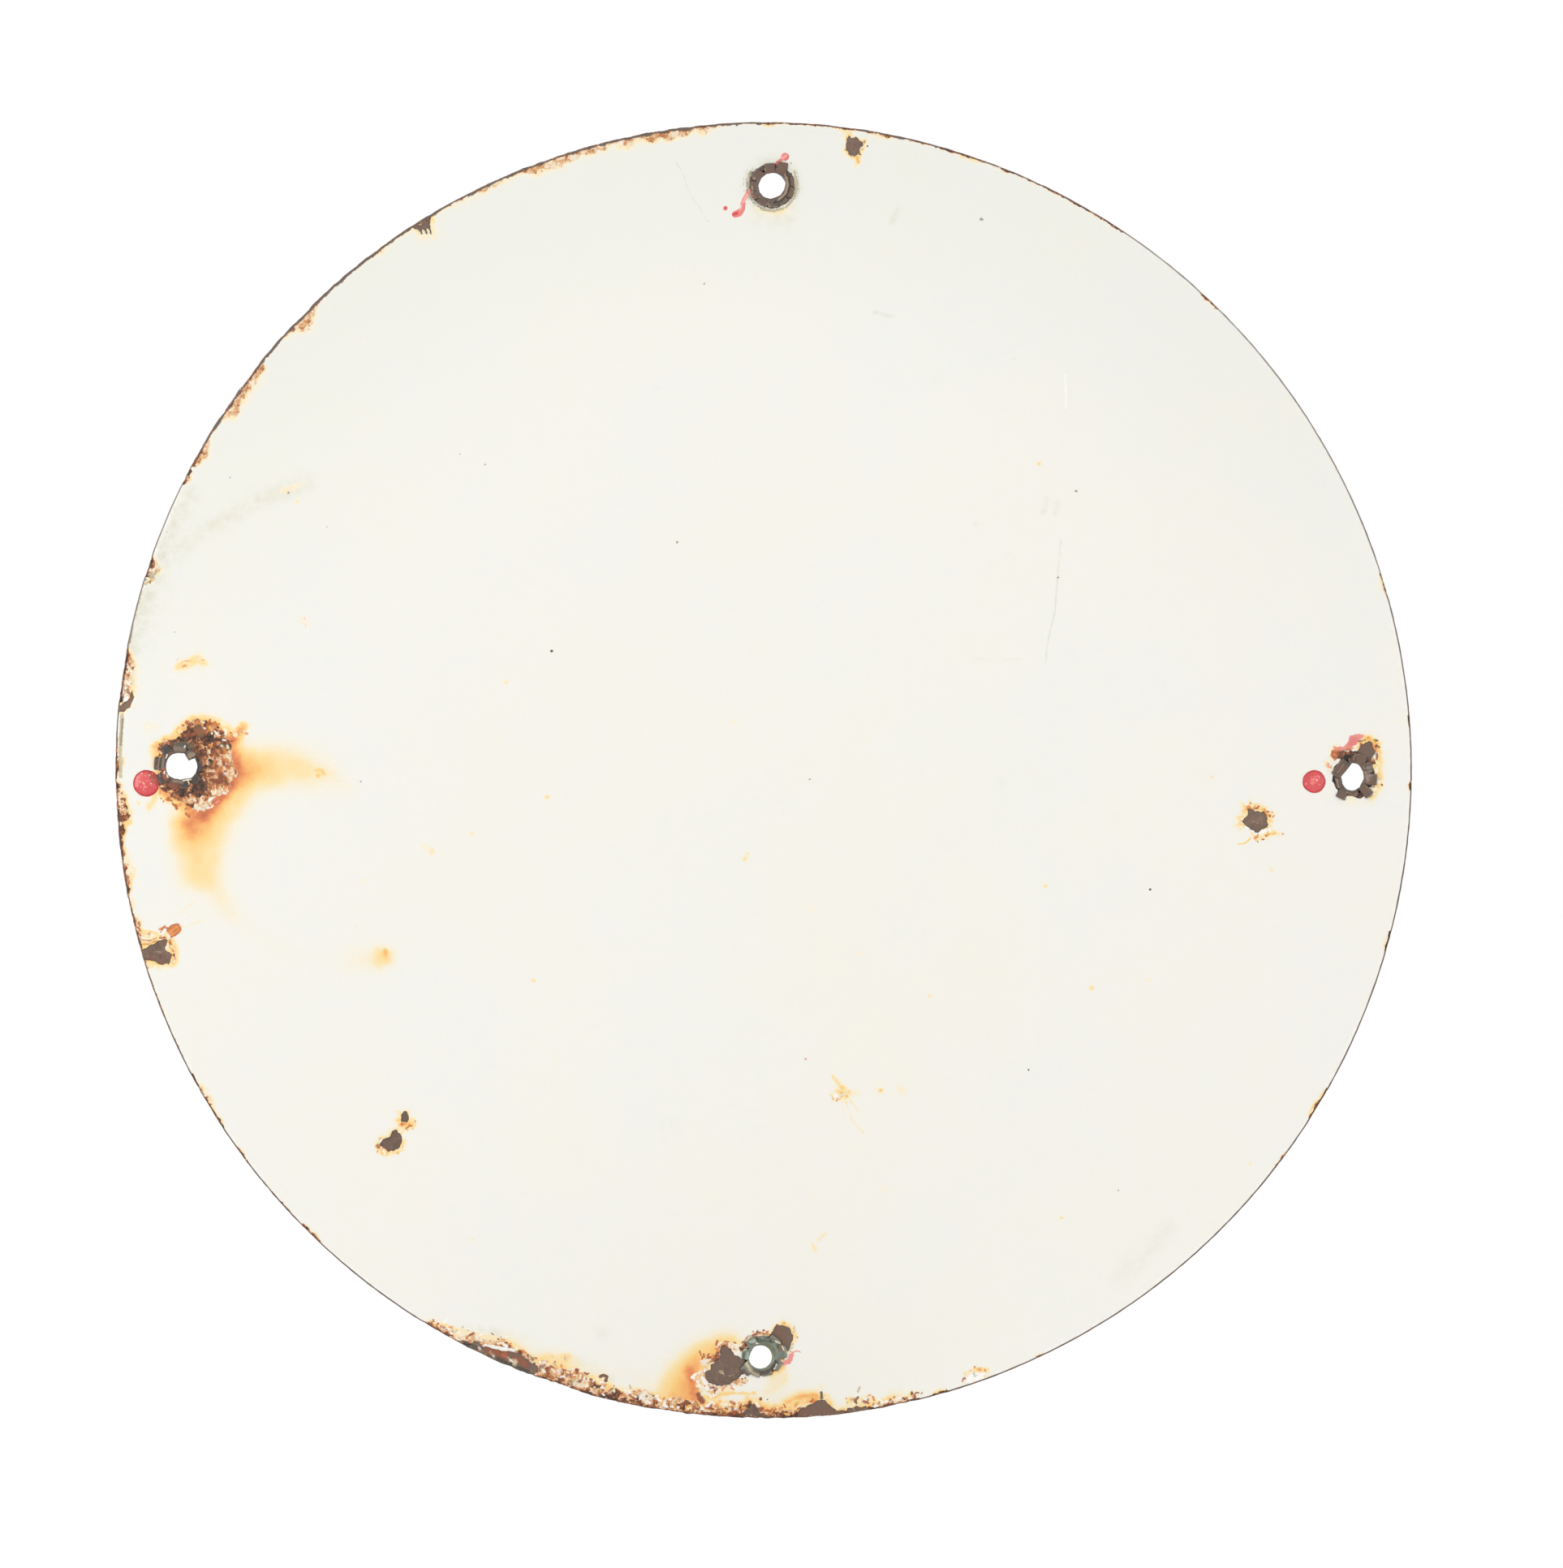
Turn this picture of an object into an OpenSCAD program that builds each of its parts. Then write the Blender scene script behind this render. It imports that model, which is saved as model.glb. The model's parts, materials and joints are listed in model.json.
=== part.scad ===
// Round porcelain enamelled pump plate: a steel disc under two glass coats a side,
// fastened through four brass eyelets whose slit ends are clinched over its back.
// It stands as it hangs: the plain back faces -Y and the printed front faces +Y.
// The origin is the centre of the four eyelet bores, half way through the steel.

/* [Plate] */
// Diameter of the steel disc, over its rim
plate_d = 304.8; // [290:0.1:330]
// Thickness of the sheet steel
steel_t = 1.2; // [0.9:0.05:2]
// Radius dressed onto both corners of the sheared rim
rim_r = 0.3; // [0.1:0.05:0.4]
// How far the disc's centre lies to the right of the hole pattern's centre
disc_dx = -0.8; // [-2:0.1:2]
// How far the disc's centre lies above the hole pattern's centre
disc_dz = 0.3; // [-2:0.1:2]

/* [Enamel] */
// Thickness of the dark ground coat on each face
ground_t = 0.1; // [0.05:0.01:0.2]
// Flat ring of bare steel between the dressed corner and the ground coat
bare_w = 0.1; // [0.05:0.05:0.5]
// Thickness of the white cover coat on each face
cover_t = 0.2; // [0.1:0.01:0.35]
// Ring of ground coat left showing outside the cover coat
ground_w = 0.25; // [0.05:0.05:1]
// Thickness of the red border coat on the front
border_t = 0.1; // [0.05:0.01:0.2]
// Width of the red border, from its outer to its inner edge
border_w = 26; // [22:0.5:40]
// Ring of cover coat left showing outside the red border
white_w = 0.3; // [0.1:0.05:1]
// How far the enamel stands back from the edge of each punched hole
hole_bare_w = 0.3; // [0.1:0.05:0.8]

/* [Fixing holes] */
// How far in from the disc's rim the circle through the four eyelet bores lies
hole_inset = 14.8; // [13.4:0.1:17]

/* [Eyelets] */
// Clear bore, for a quarter inch bolt or screw
eyelet_bore_d = 6.4; // [5:0.1:8]
// Thickness of the brass sheet
eyelet_t = 0.45; // [0.3:0.05:0.6]
// Clearance round the barrel in the punched hole
barrel_clear = 0.25; // [0.1:0.05:0.6]
// Width of the rolled front flange outside the barrel
flange_w = 2.5; // [2.2:0.1:3.5]
// Height of the hollow under the flange
flange_rise = 0.55; // [0.4:0.05:1]
// Inside radius of the flange's shoulder and rim
flange_bend = 0.4; // [0.2:0.05:0.4]
// Inside radius of the bend that lays a clinched tab on the back
tab_bend = 0.35; // [0.2:0.05:0.4]
// Width of one clinched tab
tab_w = 2.4; // [2:0.1:2.6]
// Width of the slit between two tabs where they leave the barrel
slit_w = 0.3; // [0.15:0.05:0.5]

/* [Red drops] */
// Height of the two round drops of red enamel on the back
drop_h = 0.35; // [0.2:0.05:0.6]
// Radius of the drop beside the left eyelet
left_drop_r = 3.1; // [2:0.1:3.2]
// Radius of the drop beside the right eyelet
right_drop_r = 2.7; // [2:0.1:3.2]
// Height of the run of red enamel below the top eyelet
run_h = 0.2; // [0.1:0.05:0.4]

/* [Hidden] */
$fn = 96;

// Compass places of the eyelets, as turns from the right-hand one
TOP = 90;
RIGHT = 0;
BOTTOM = 270;
LEFT = 180;
HOLE_TURNS = [TOP, RIGHT, BOTTOM, LEFT];

// Clinched tabs, each as its turn and its length past the barrel
TABS_TOP = [[12, 1.6], [56, 2.2], [96, 1.7], [141, 1.8], [186, 1.2], [236, 1.7], [287, 1.6], [330, 1.5]];
TABS_RIGHT = [[26, 1.9], [64, 1.8], [106, 1.3], [148, 1.1], [192, 0.8], [240, 2.5], [306, 2.5], [350, 1.9]];
TABS_BOTTOM = [[8, 1.9], [42, 1.6], [78, 1.4], [120, 1.5], [164, 1.8], [229, 1.9], [270, 0.8], [328, 0.9]];
TABS_LEFT = [[2, 1.8], [50, 0.9], [90, 2.0], [134, 2.0], [178, 2.4], [233, 2.0], [274, 2.1], [319, 2.2]];

// Levels through the plate, measured from the middle of the steel towards the back
steel_face = steel_t / 2;
ground_face = steel_face + ground_t;
cover_face = ground_face + cover_t;
border_face = cover_face + border_t;

// Radius of the circle through the four eyelet bores
hole_circle_r = plate_d / 2 - hole_inset;

// Radii of the coats, each one inside the coat below it
plate_r = plate_d / 2;
ground_r = plate_r - rim_r - bare_w;
cover_r = ground_r - ground_w;
border_r = cover_r - white_w;

// Radii through an eyelet and the holes that take it
bore_r = eyelet_bore_d / 2;
barrel_r = bore_r + eyelet_t;
flange_r = barrel_r + flange_w;
punched_r = barrel_r + barrel_clear;
coat_hole_r = punched_r + hole_bare_w;
tab_room_r = barrel_r + 4;
// Level where the tabs start to bend out of the barrel
clinch_z = cover_face - tab_bend;

// Places of the red drops, each tied to the eyelet that it ran from
left_drop_at = [-hole_circle_r - 8.1, -4];
right_drop_at = [hole_circle_r - 9.1, -1.2];
run_from = [-4.9, hole_circle_r - 3.6];
run_to = [-8.7, hole_circle_r - 7.2];
run_beads = 6;
run_r = 0.7;
run_end_r = 1.3;
spot_at = [2.9, hole_circle_r + 6.8];
spot_r = 0.8;

// Turns a part drawn flat, with its back upwards, to stand with its back to -Y
module upright() {
    rotate([90, 0, 0]) children();
}

module at_hole(turn) {
    rotate(turn) translate([hole_circle_r, 0, 0]) rotate(-turn) children();
}

module at_disc() {
    translate([disc_dx, disc_dz, 0]) children();
}

module hole_cutters(r) {
    for (turn = HOLE_TURNS) at_hole(turn) cylinder(r = r, h = 4 * border_face, center = true);
}

// Disc with a rounded upper edge, lying on z = 0
module coat_disc(r, t) {
    rotate_extrude() {
        square([r - t, t]);
        translate([r - t, 0]) intersection() {
            circle(r = t);
            square(t);
        }
    }
}

// Coat of enamel from one level to the next on the back
module coat(r, from, to) {
    difference() {
        at_disc() translate([0, 0, from]) coat_disc(r, to - from);
        hole_cutters(coat_hole_r);
    }
}

module on_front() {
    mirror([0, 0, 1]) children();
}

module steel_blank() {
    color("dimgray") upright() difference() {
        at_disc() rotate_extrude() {
            translate([0, -steel_face]) square([plate_r - rim_r, steel_t]);
            translate([0, rim_r - steel_face]) square([plate_r, steel_t - 2 * rim_r]);
            for (side = [-1, 1])
                translate([plate_r - rim_r, side * (steel_face - rim_r)]) circle(r = rim_r);
        }
        hole_cutters(punched_r);
    }
}

module ground_coat_back() {
    color([0.2, 0.17, 0.16]) upright() coat(ground_r, steel_face, ground_face);
}

module ground_coat_front() {
    color([0.2, 0.17, 0.16]) upright() on_front() coat(ground_r, steel_face, ground_face);
}

module cover_coat_back() {
    color([0.95, 0.95, 0.91]) upright() coat(cover_r, ground_face, cover_face);
}

module cover_coat_front() {
    color([0.95, 0.95, 0.91]) upright() on_front() coat(cover_r, ground_face, cover_face);
}

module border_coat_front() {
    color([0.72, 0.13, 0.14]) upright() on_front() difference() {
        coat(border_r, cover_face, border_face);
        at_disc() cylinder(r = border_r - border_w, h = 4 * border_face, center = true);
    }
}

// Domed drop of set enamel, lying on z = 0
module drop(r, h) {
    dome_r = (r * r + h * h) / (2 * h);
    rotate_extrude() intersection() {
        translate([0, h - dome_r]) circle(r = dome_r, $fn = 360);
        square([r, h]);
    }
}

module red_on_back() {
    color([0.82, 0.27, 0.29]) upright() translate([0, 0, cover_face]) children();
}

module red_drop_left() {
    red_on_back() translate(left_drop_at) drop(left_drop_r, drop_h);
}

module red_drop_right() {
    red_on_back() translate(right_drop_at) drop(right_drop_r, drop_h);
}

// Thin run from the top eyelet to its fuller end, and the spot on the eyelet's other side
module red_run_top() {
    red_on_back() {
        for (i = [0:run_beads - 1])
            translate(run_from + (run_to - run_from) * i / run_beads) drop(run_r, run_h);
        translate(run_to) drop(run_end_r, run_h);
        translate(spot_at) drop(spot_r, run_h);
    }
}

// Quarter of a sheet bend with its inside radius at the origin's corner
module bend(inside_r) {
    intersection() {
        difference() {
            circle(r = inside_r + eyelet_t);
            circle(r = inside_r);
        }
        square(inside_r + eyelet_t);
    }
}

// Half section of an eyelet: rolled flange at the front, barrel, and the full
// ring of brass that the clinched tabs are cut from at the back
module eyelet_section() {
    shoulder_z = flange_bend - flange_rise - border_face;
    crown_z = -border_face - flange_rise - eyelet_t;
    translate([bore_r, shoulder_z]) square([eyelet_t, clinch_z - shoulder_z]);
    translate([barrel_r + tab_bend, clinch_z]) mirror([1, 0]) bend(tab_bend);
    translate([barrel_r + tab_bend, cover_face]) square([tab_room_r - barrel_r - tab_bend, eyelet_t]);
    translate([barrel_r + flange_bend, shoulder_z]) mirror([1, 0]) mirror([0, 1]) bend(flange_bend);
    translate([barrel_r + flange_bend, crown_z]) square([flange_w - eyelet_t - 2 * flange_bend, eyelet_t]);
    translate([flange_r - eyelet_t - flange_bend, shoulder_z]) mirror([0, 1]) bend(flange_bend);
    translate([flange_r - eyelet_t, shoulder_z]) square([eyelet_t, -border_face - shoulder_z]);
}

// Turn half way from one tab to the next, where the barrel's end is slit
function slit_turn(tabs, i) = let (here = tabs[i][0], next = tabs[(i + 1) % len(tabs)][0])
    (here + next + (next < here ? 360 : 0)) / 2;

// Eyelet whose end is slit into tabs of equal width, each cut square at its own length
module eyelet(turn, tabs) {
    clinch_h = tab_bend + eyelet_t;
    color([0.47, 0.41, 0.33]) upright() at_hole(turn) difference() {
        rotate_extrude() eyelet_section();
        translate([0, 0, clinch_z]) difference() {
            cylinder(r = tab_room_r + 1, h = clinch_h + 1);
            for (tab = tabs) rotate(tab[0]) translate([0, -tab_w / 2, -1])
                cube([barrel_r + tab[1], tab_w, clinch_h + 3]);
        }
        for (i = [0:len(tabs) - 1]) rotate(slit_turn(tabs, i))
            translate([0, -slit_w / 2, clinch_z]) cube([tab_room_r + 1, slit_w, clinch_h + 1]);
    }
}

module eyelet_top() {
    eyelet(TOP, TABS_TOP);
}

module eyelet_right() {
    eyelet(RIGHT, TABS_RIGHT);
}

module eyelet_bottom() {
    eyelet(BOTTOM, TABS_BOTTOM);
}

module eyelet_left() {
    eyelet(LEFT, TABS_LEFT);
}

steel_blank();
ground_coat_back();
ground_coat_front();
cover_coat_back();
cover_coat_front();
border_coat_front();
eyelet_top();
eyelet_right();
eyelet_bottom();
eyelet_left();
red_drop_left();
red_drop_right();
red_run_top();
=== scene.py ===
"""The looks of a worn porcelain enamelled pump plate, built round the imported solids.

Places on the plate are millimetres (x, z) as it hangs, seen from its back, which is the
face towards -Y. Heights are millimetres from the middle of the steel towards a face.
Turns round the rim are degrees clockwise from the top, seen from the back.
"""

import json
import math
from collections import namedtuple

import bpy
import numpy as np
from mathutils import Matrix, Vector, kdtree
from mathutils.geometry import delaunay_2d_cdt


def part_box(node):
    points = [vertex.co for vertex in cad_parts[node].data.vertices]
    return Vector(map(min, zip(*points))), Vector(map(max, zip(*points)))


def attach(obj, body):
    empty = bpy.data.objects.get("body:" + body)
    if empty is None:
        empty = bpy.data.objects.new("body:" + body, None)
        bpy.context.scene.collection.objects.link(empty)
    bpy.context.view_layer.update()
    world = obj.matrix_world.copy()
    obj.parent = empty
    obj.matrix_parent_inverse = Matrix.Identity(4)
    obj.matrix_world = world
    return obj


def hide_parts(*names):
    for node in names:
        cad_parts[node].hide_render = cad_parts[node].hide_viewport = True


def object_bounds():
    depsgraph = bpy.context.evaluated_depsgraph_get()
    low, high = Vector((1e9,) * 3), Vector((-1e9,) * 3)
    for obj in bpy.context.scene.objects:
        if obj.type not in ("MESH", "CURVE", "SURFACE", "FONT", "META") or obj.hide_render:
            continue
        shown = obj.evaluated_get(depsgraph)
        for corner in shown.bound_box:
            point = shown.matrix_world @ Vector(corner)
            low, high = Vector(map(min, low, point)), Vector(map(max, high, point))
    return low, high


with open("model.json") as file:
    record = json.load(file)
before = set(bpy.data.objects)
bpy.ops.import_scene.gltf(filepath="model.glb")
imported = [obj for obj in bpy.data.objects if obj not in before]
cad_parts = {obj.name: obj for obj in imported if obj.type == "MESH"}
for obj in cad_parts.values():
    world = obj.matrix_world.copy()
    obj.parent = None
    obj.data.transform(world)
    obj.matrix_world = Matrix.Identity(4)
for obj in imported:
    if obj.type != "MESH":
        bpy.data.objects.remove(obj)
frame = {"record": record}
CAD_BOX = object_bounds()
MM = 0.001
BACK = -1
FRONT = 1

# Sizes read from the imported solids


def box_mm(node):
    """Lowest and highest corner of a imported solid's box."""
    low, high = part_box(node)
    return np.array(low) / MM, np.array(high) / MM


def disc_radius(node):
    """Half the width of a round solid."""
    low, high = box_mm(node)
    return (high[0] - low[0]) / 2


def face_height(node):
    """Height of a solid's outer face over the middle of the steel."""
    return np.abs(box_mm(node)).max(axis=0)[1]


STEEL_BOX = box_mm("steel_blank")
DISC = (STEEL_BOX[0] + STEEL_BOX[1])[[0, 2]] / 2
PLATE_R = disc_radius("steel_blank")
GROUND_R = disc_radius("ground_coat_back")
COVER_R = disc_radius("cover_coat_back")
BORDER_R = disc_radius("border_coat_front")
STEEL_FACE = face_height("steel_blank")
GROUND_FACE = face_height("ground_coat_back")
COVER_FACE = face_height("cover_coat_back")
BORDER_FACE = face_height("border_coat_front")
MOUNT = frame["record"]["mounts"][0]["dims"]
HOLE_CIRCLE_R = MOUNT["pcd_mm"] / 2
BORE_R = MOUNT["hole_r_mm"]
HOLES = {
    "top": (0.0, HOLE_CIRCLE_R),
    "right": (HOLE_CIRCLE_R, 0.0),
    "bottom": (0.0, -HOLE_CIRCLE_R),
    "left": (-HOLE_CIRCLE_R, 0.0),
}
# Radius of the holes in the enamel, and width of the red border on the front
COAT_HOLE_R = 4.2
BORDER_W = 26.0

# Colours, as the photograph's light shows them

PALETTE = {
    "ivory": (245, 243, 235),
    # Tone of the painted shade towards the upper rim
    "rim_shade_tone": (233, 234, 225),
    "white": (252, 250, 244),
    "cream": (251, 240, 208),
    "amber": (247, 196, 112),
    "orange": (232, 148, 82),
    "rust": (186, 102, 60),
    "red_brown": (150, 84, 58),
    "brown": (122, 84, 64),
    "dark": (88, 72, 62),
    "black": (52, 42, 36),
    "olive": (104, 98, 80),
    "tan": (205, 190, 160),
    "slate": (176, 180, 168),
    "smudge": (204, 200, 160),
    "steel": (108, 92, 82),
    "red": (214, 78, 82),
    "pink": (236, 150, 142),
    "mint": (164, 176, 160),
    "verdigris": (120, 128, 114),
    "brass_dark": (96, 84, 76),
    "brass_tan": (160, 138, 116),
}


def linear(colour):
    """Linear red, green and blue of a palette name or an 8-bit colour."""
    parts = np.array(PALETTE[colour] if isinstance(colour, str) else colour) / 255
    return np.where(parts <= 0.04045, parts / 12.92, ((parts + 0.055) / 1.055) ** 2.4)


# Lines on the plate


def length(vectors):
    """Length of each (x, z) vector."""
    return np.hypot(*vectors.T)


def run_along(points):
    """Distance along a line at each of its points."""
    return np.concatenate([[0], np.cumsum(length(np.diff(points, axis=0)))])


def on_line(points, along, places):
    """Points at the given distances along a line."""
    return np.stack([np.interp(places, along, points[:, axis]) for axis in (0, 1)], -1)


def unit(turn):
    """Unit vector at one turn, in radians anticlockwise from the right."""
    return np.array([math.cos(turn), math.sin(turn)])


def rays(turns):
    """Unit vectors at many turns, in radians anticlockwise from the right."""
    return np.stack([np.cos(turns), np.sin(turns)], -1)


def eased(ring):
    """A closed ring of points or numbers, each averaged with its two neighbours."""
    return (np.roll(ring, 1, 0) + 2 * ring + np.roll(ring, -1, 0)) / 4


def from_centre(xz):
    """Distance of each place from the disc's centre."""
    return length(xz - DISC)


def inward_of(xz):
    """Distance of each place in from the steel's rim."""
    return PLATE_R - from_centre(xz)


# Marks of wear, each a layer's or a colour's name, a brush radius, a strength and a line to follow

Mark = namedtuple("Mark", "layer radius points strength soft kind", defaults=(1.0, 0.4, "line"))
RUSTY = ("orange", "rust", "red_brown", "amber")
FLAKY = ("cream", "white", "orange", "tan", "red_brown", "cream")
DARKER = ("brown", "red_brown", "rust", "red_brown")

# How a crumb lies: the spread of its heading in radians, and its length as shares of its radius
CRUMB_TURN = 0.9
CRUMB_LENGTH = (0.2, 2.6)


def lines(layer, *rows, soft=0.5):
    """Brush strokes, each from its radius, its strength and its points."""
    return [Mark(layer, row[0], list(row[2:]), row[1], soft) for row in rows]


def filled(kind, layer, edge, strength, points):
    """A closed outline that a brush of the given kind fills."""
    return [Mark(layer, edge, [*points, points[0]], strength, 1.0, kind)]


def patch(layer, edge, strength, *points):
    """A filled outline with a ragged edge of the given width."""
    return filled("patch", layer, edge, strength, points)


def patches(rows, *points):
    """Filled outlines over each other, each from its layer, its edge's width and its strength."""
    return [mark for row in rows for mark in patch(*row, *points)]


def wash(edge, strength, *points):
    """A filled stain that fades out over the given width."""
    return filled("wash", "stain", edge, strength, points)


def halo(outline, reach, strength):
    """Streaks of rust that run out from an outline, and a paler bloom past them."""
    return (filled("halo", "stain", reach, strength, outline)
            + filled("halo", "stain", 2.4 * reach, 0.3 * strength, outline))


def arc(centre, radius, start=0, end=360):
    """Points on an arc, its turns in degrees anticlockwise from the right."""
    turns = np.radians(np.linspace(start, end, 3 + int((end - start) / 15)))
    return [(centre[0] + radius * math.cos(turn), centre[1] + radius * math.sin(turn)) for turn in turns]


def crumbs(seed, count, spread, tones, *points, size=(0.28, 0.55), strength=0.7, bed=0.2):
    """Small flakes of the given tones, scattered round a line and lying roughly along it."""
    rng = np.random.default_rng(seed)
    made = [Mark("stain", spread, list(points), bed, 1.0)] if bed else []
    line = np.array(points, float)
    along = run_along(line)
    for _ in range(count):
        at = rng.uniform(0, 0.98 * along[-1])
        place, ahead = on_line(line, along, [at, 1.02 * at + 0.01])
        heading = math.atan2(ahead[1] - place[1], ahead[0] - place[0]) + rng.normal(0, CRUMB_TURN)
        place = place + rng.normal(0, spread / 2, 2)
        radius = rng.uniform(*size)
        tip = place + radius * rng.uniform(*CRUMB_LENGTH) * unit(heading)
        tone = tones[rng.integers(len(tones))]
        made.append(Mark(tone, 0.62 * radius, [tuple(place), tuple(tip)], 0.95 * strength, 0.6))
    return made


# Chips through the enamel down to the steel, each as its outline
CHIPS = {
    "top": [(17.1, 148.8), (18.1, 149.7), (18.6, 148.7), (19.6, 148.8), (20.6, 148.3), (21.4, 147.9),
            (20.9, 146.8), (20.4, 145.7), (19.2, 144.7), (18, 145.3), (17.3, 146.2), (17.9, 147.7)],
    "right": [(113, -7.8), (114.7, -8.5), (117, -8.6), (117.3, -10), (117.9, -11.8), (116.6, -12.5),
              (115.2, -13), (113.7, -12), (112, -10.7), (112.2, -9.9), (113.2, -9.4)],
    "low_left": [(-85.1, -80.8), (-83.9, -80.6), (-83.5, -81.5), (-83.6, -82.8), (-84.9, -82.9),
                 (-85.2, -81.5)],
    "low_left_big": [(-86.3, -85), (-85.6, -86.6), (-85.4, -88.2), (-86, -89.3), (-87.8, -90),
                     (-88.6, -89.2), (-90, -88.3), (-89.4, -87.4), (-88.2, -86.8), (-87.5, -85.7)],
    "left_edge": [(-152, -44.6), (-146.7, -43.4), (-144.4, -42.3), (-142.4, -41.3), (-141.6, -40.8),
                  (-140.6, -41), (-141, -42), (-141.4, -42.8), (-140.4, -43.4), (-139.8, -44.2),
                  (-139.9, -45), (-140.5, -45.8), (-140.5, -46.5), (-141.6, -46.6), (-143.2, -46.3),
                  (-144.4, -45.6), (-146, -45.3), (-151, -47)],
    "left_curl": [(-152.6, 12.6), (-150.9, 13.1), (-149.6, 14.6), (-149.2, 16.6), (-149.5, 17.6),
                  (-150, 16.8), (-150.4, 15.2), (-151.6, 14.4), (-153, 14.4)],
    "upper_left": [(-85.6, 127.2), (-84, 127.4), (-83.3, 126.6), (-82.9, 127.2), (-82.4, 125.8),
                   (-82, 127.2), (-81.3, 125.9), (-81.2, 127.3), (-80.2, 125.9), (-80.6, 128),
                   (-80.1, 129.4), (-82, 131), (-86.4, 128.6)],
    "beside_right_eyelet": [(139.2, 3.4), (139.2, 5.8), (139.6, 7), (140.2, 7.7), (141, 8), (142, 7.7),
                            (142.5, 6.9), (142.5, 6), (142.1, 5.2), (141.8, 4.2), (141.4, 2.8)],
    "beside_bottom_eyelet": [(-8.6, -134.9), (-7.3, -136.1), (-5.6, -137.4), (-4.2, -138.4), (-4, -139.6),
                             (-4.2, -141.2), (-5.6, -142.1), (-7, -143.3), (-10, -144.4), (-11.1, -144.1),
                             (-12.7, -142.4), (-12.9, -141.4), (-11.6, -139.8), (-10.4, -138.5),
                             (-9.7, -137.7), (-9.6, -135.3)],
    "above_bottom_eyelet": [(2.7, -131.2), (3.6, -130.2), (4.6, -130), (6, -130.7), (7, -132),
                            (7.1, -133.4), (6.5, -134.4), (6.3, -135.6), (5.5, -135.6), (4.8, -134.6),
                            (3.4, -134), (1, -133.4), (2.4, -132.3)],
    "bottom_wedge": [(-71.8, -133.9), (-70, -134.3), (-66.8, -134.9), (-65.6, -135), (-65, -136),
                     (-62.4, -136.3), (-58.6, -137), (-56.8, -137.2), (-54.2, -139.2), (-53, -139.8),
                     (-52.6, -141), (-53.4, -142), (-55, -146), (-72, -140)],
    "bottom_middle": [(-4.4, -151), (-3.4, -149.6), (-2.6, -148.8), (-1.6, -148.8), (-1.2, -150.2),
                      (0.4, -150.8), (0.4, -155), (-4.4, -155)],
    "bottom_triangle": [(8.6, -151), (9.4, -149.6), (10.6, -149.3), (11.4, -148.4), (12.4, -148.4),
                        (13, -147.7), (13.8, -148), (14.6, -147.5), (15.2, -148.6), (16.2, -148.8),
                        (17, -149.7), (18.6, -150), (19.6, -150.8), (19.6, -155), (8.6, -155)],
    "bottom_right": [(20.4, -149.8), (22, -149.2), (24.8, -149.2), (26.4, -149.7), (26.4, -154),
                     (20.4, -154)],
}
LEFT_CRUST = [(-143.4, 4.4), (-141.4, 5.8), (-138.6, 6.2), (-136.4, 9.2), (-134.6, 10.6), (-131.6, 10.6),
              (-129.4, 9.8), (-127.4, 8.2), (-126, 6.2), (-125.4, 3.4), (-125.2, 0.4), (-124.4, -1.6),
              (-125.8, -4.6), (-128.6, -7), (-130.4, -8.6), (-131.6, -10.8), (-134, -10), (-137, -8.8),
              (-140, -7.2), (-142.8, -5)]

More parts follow.
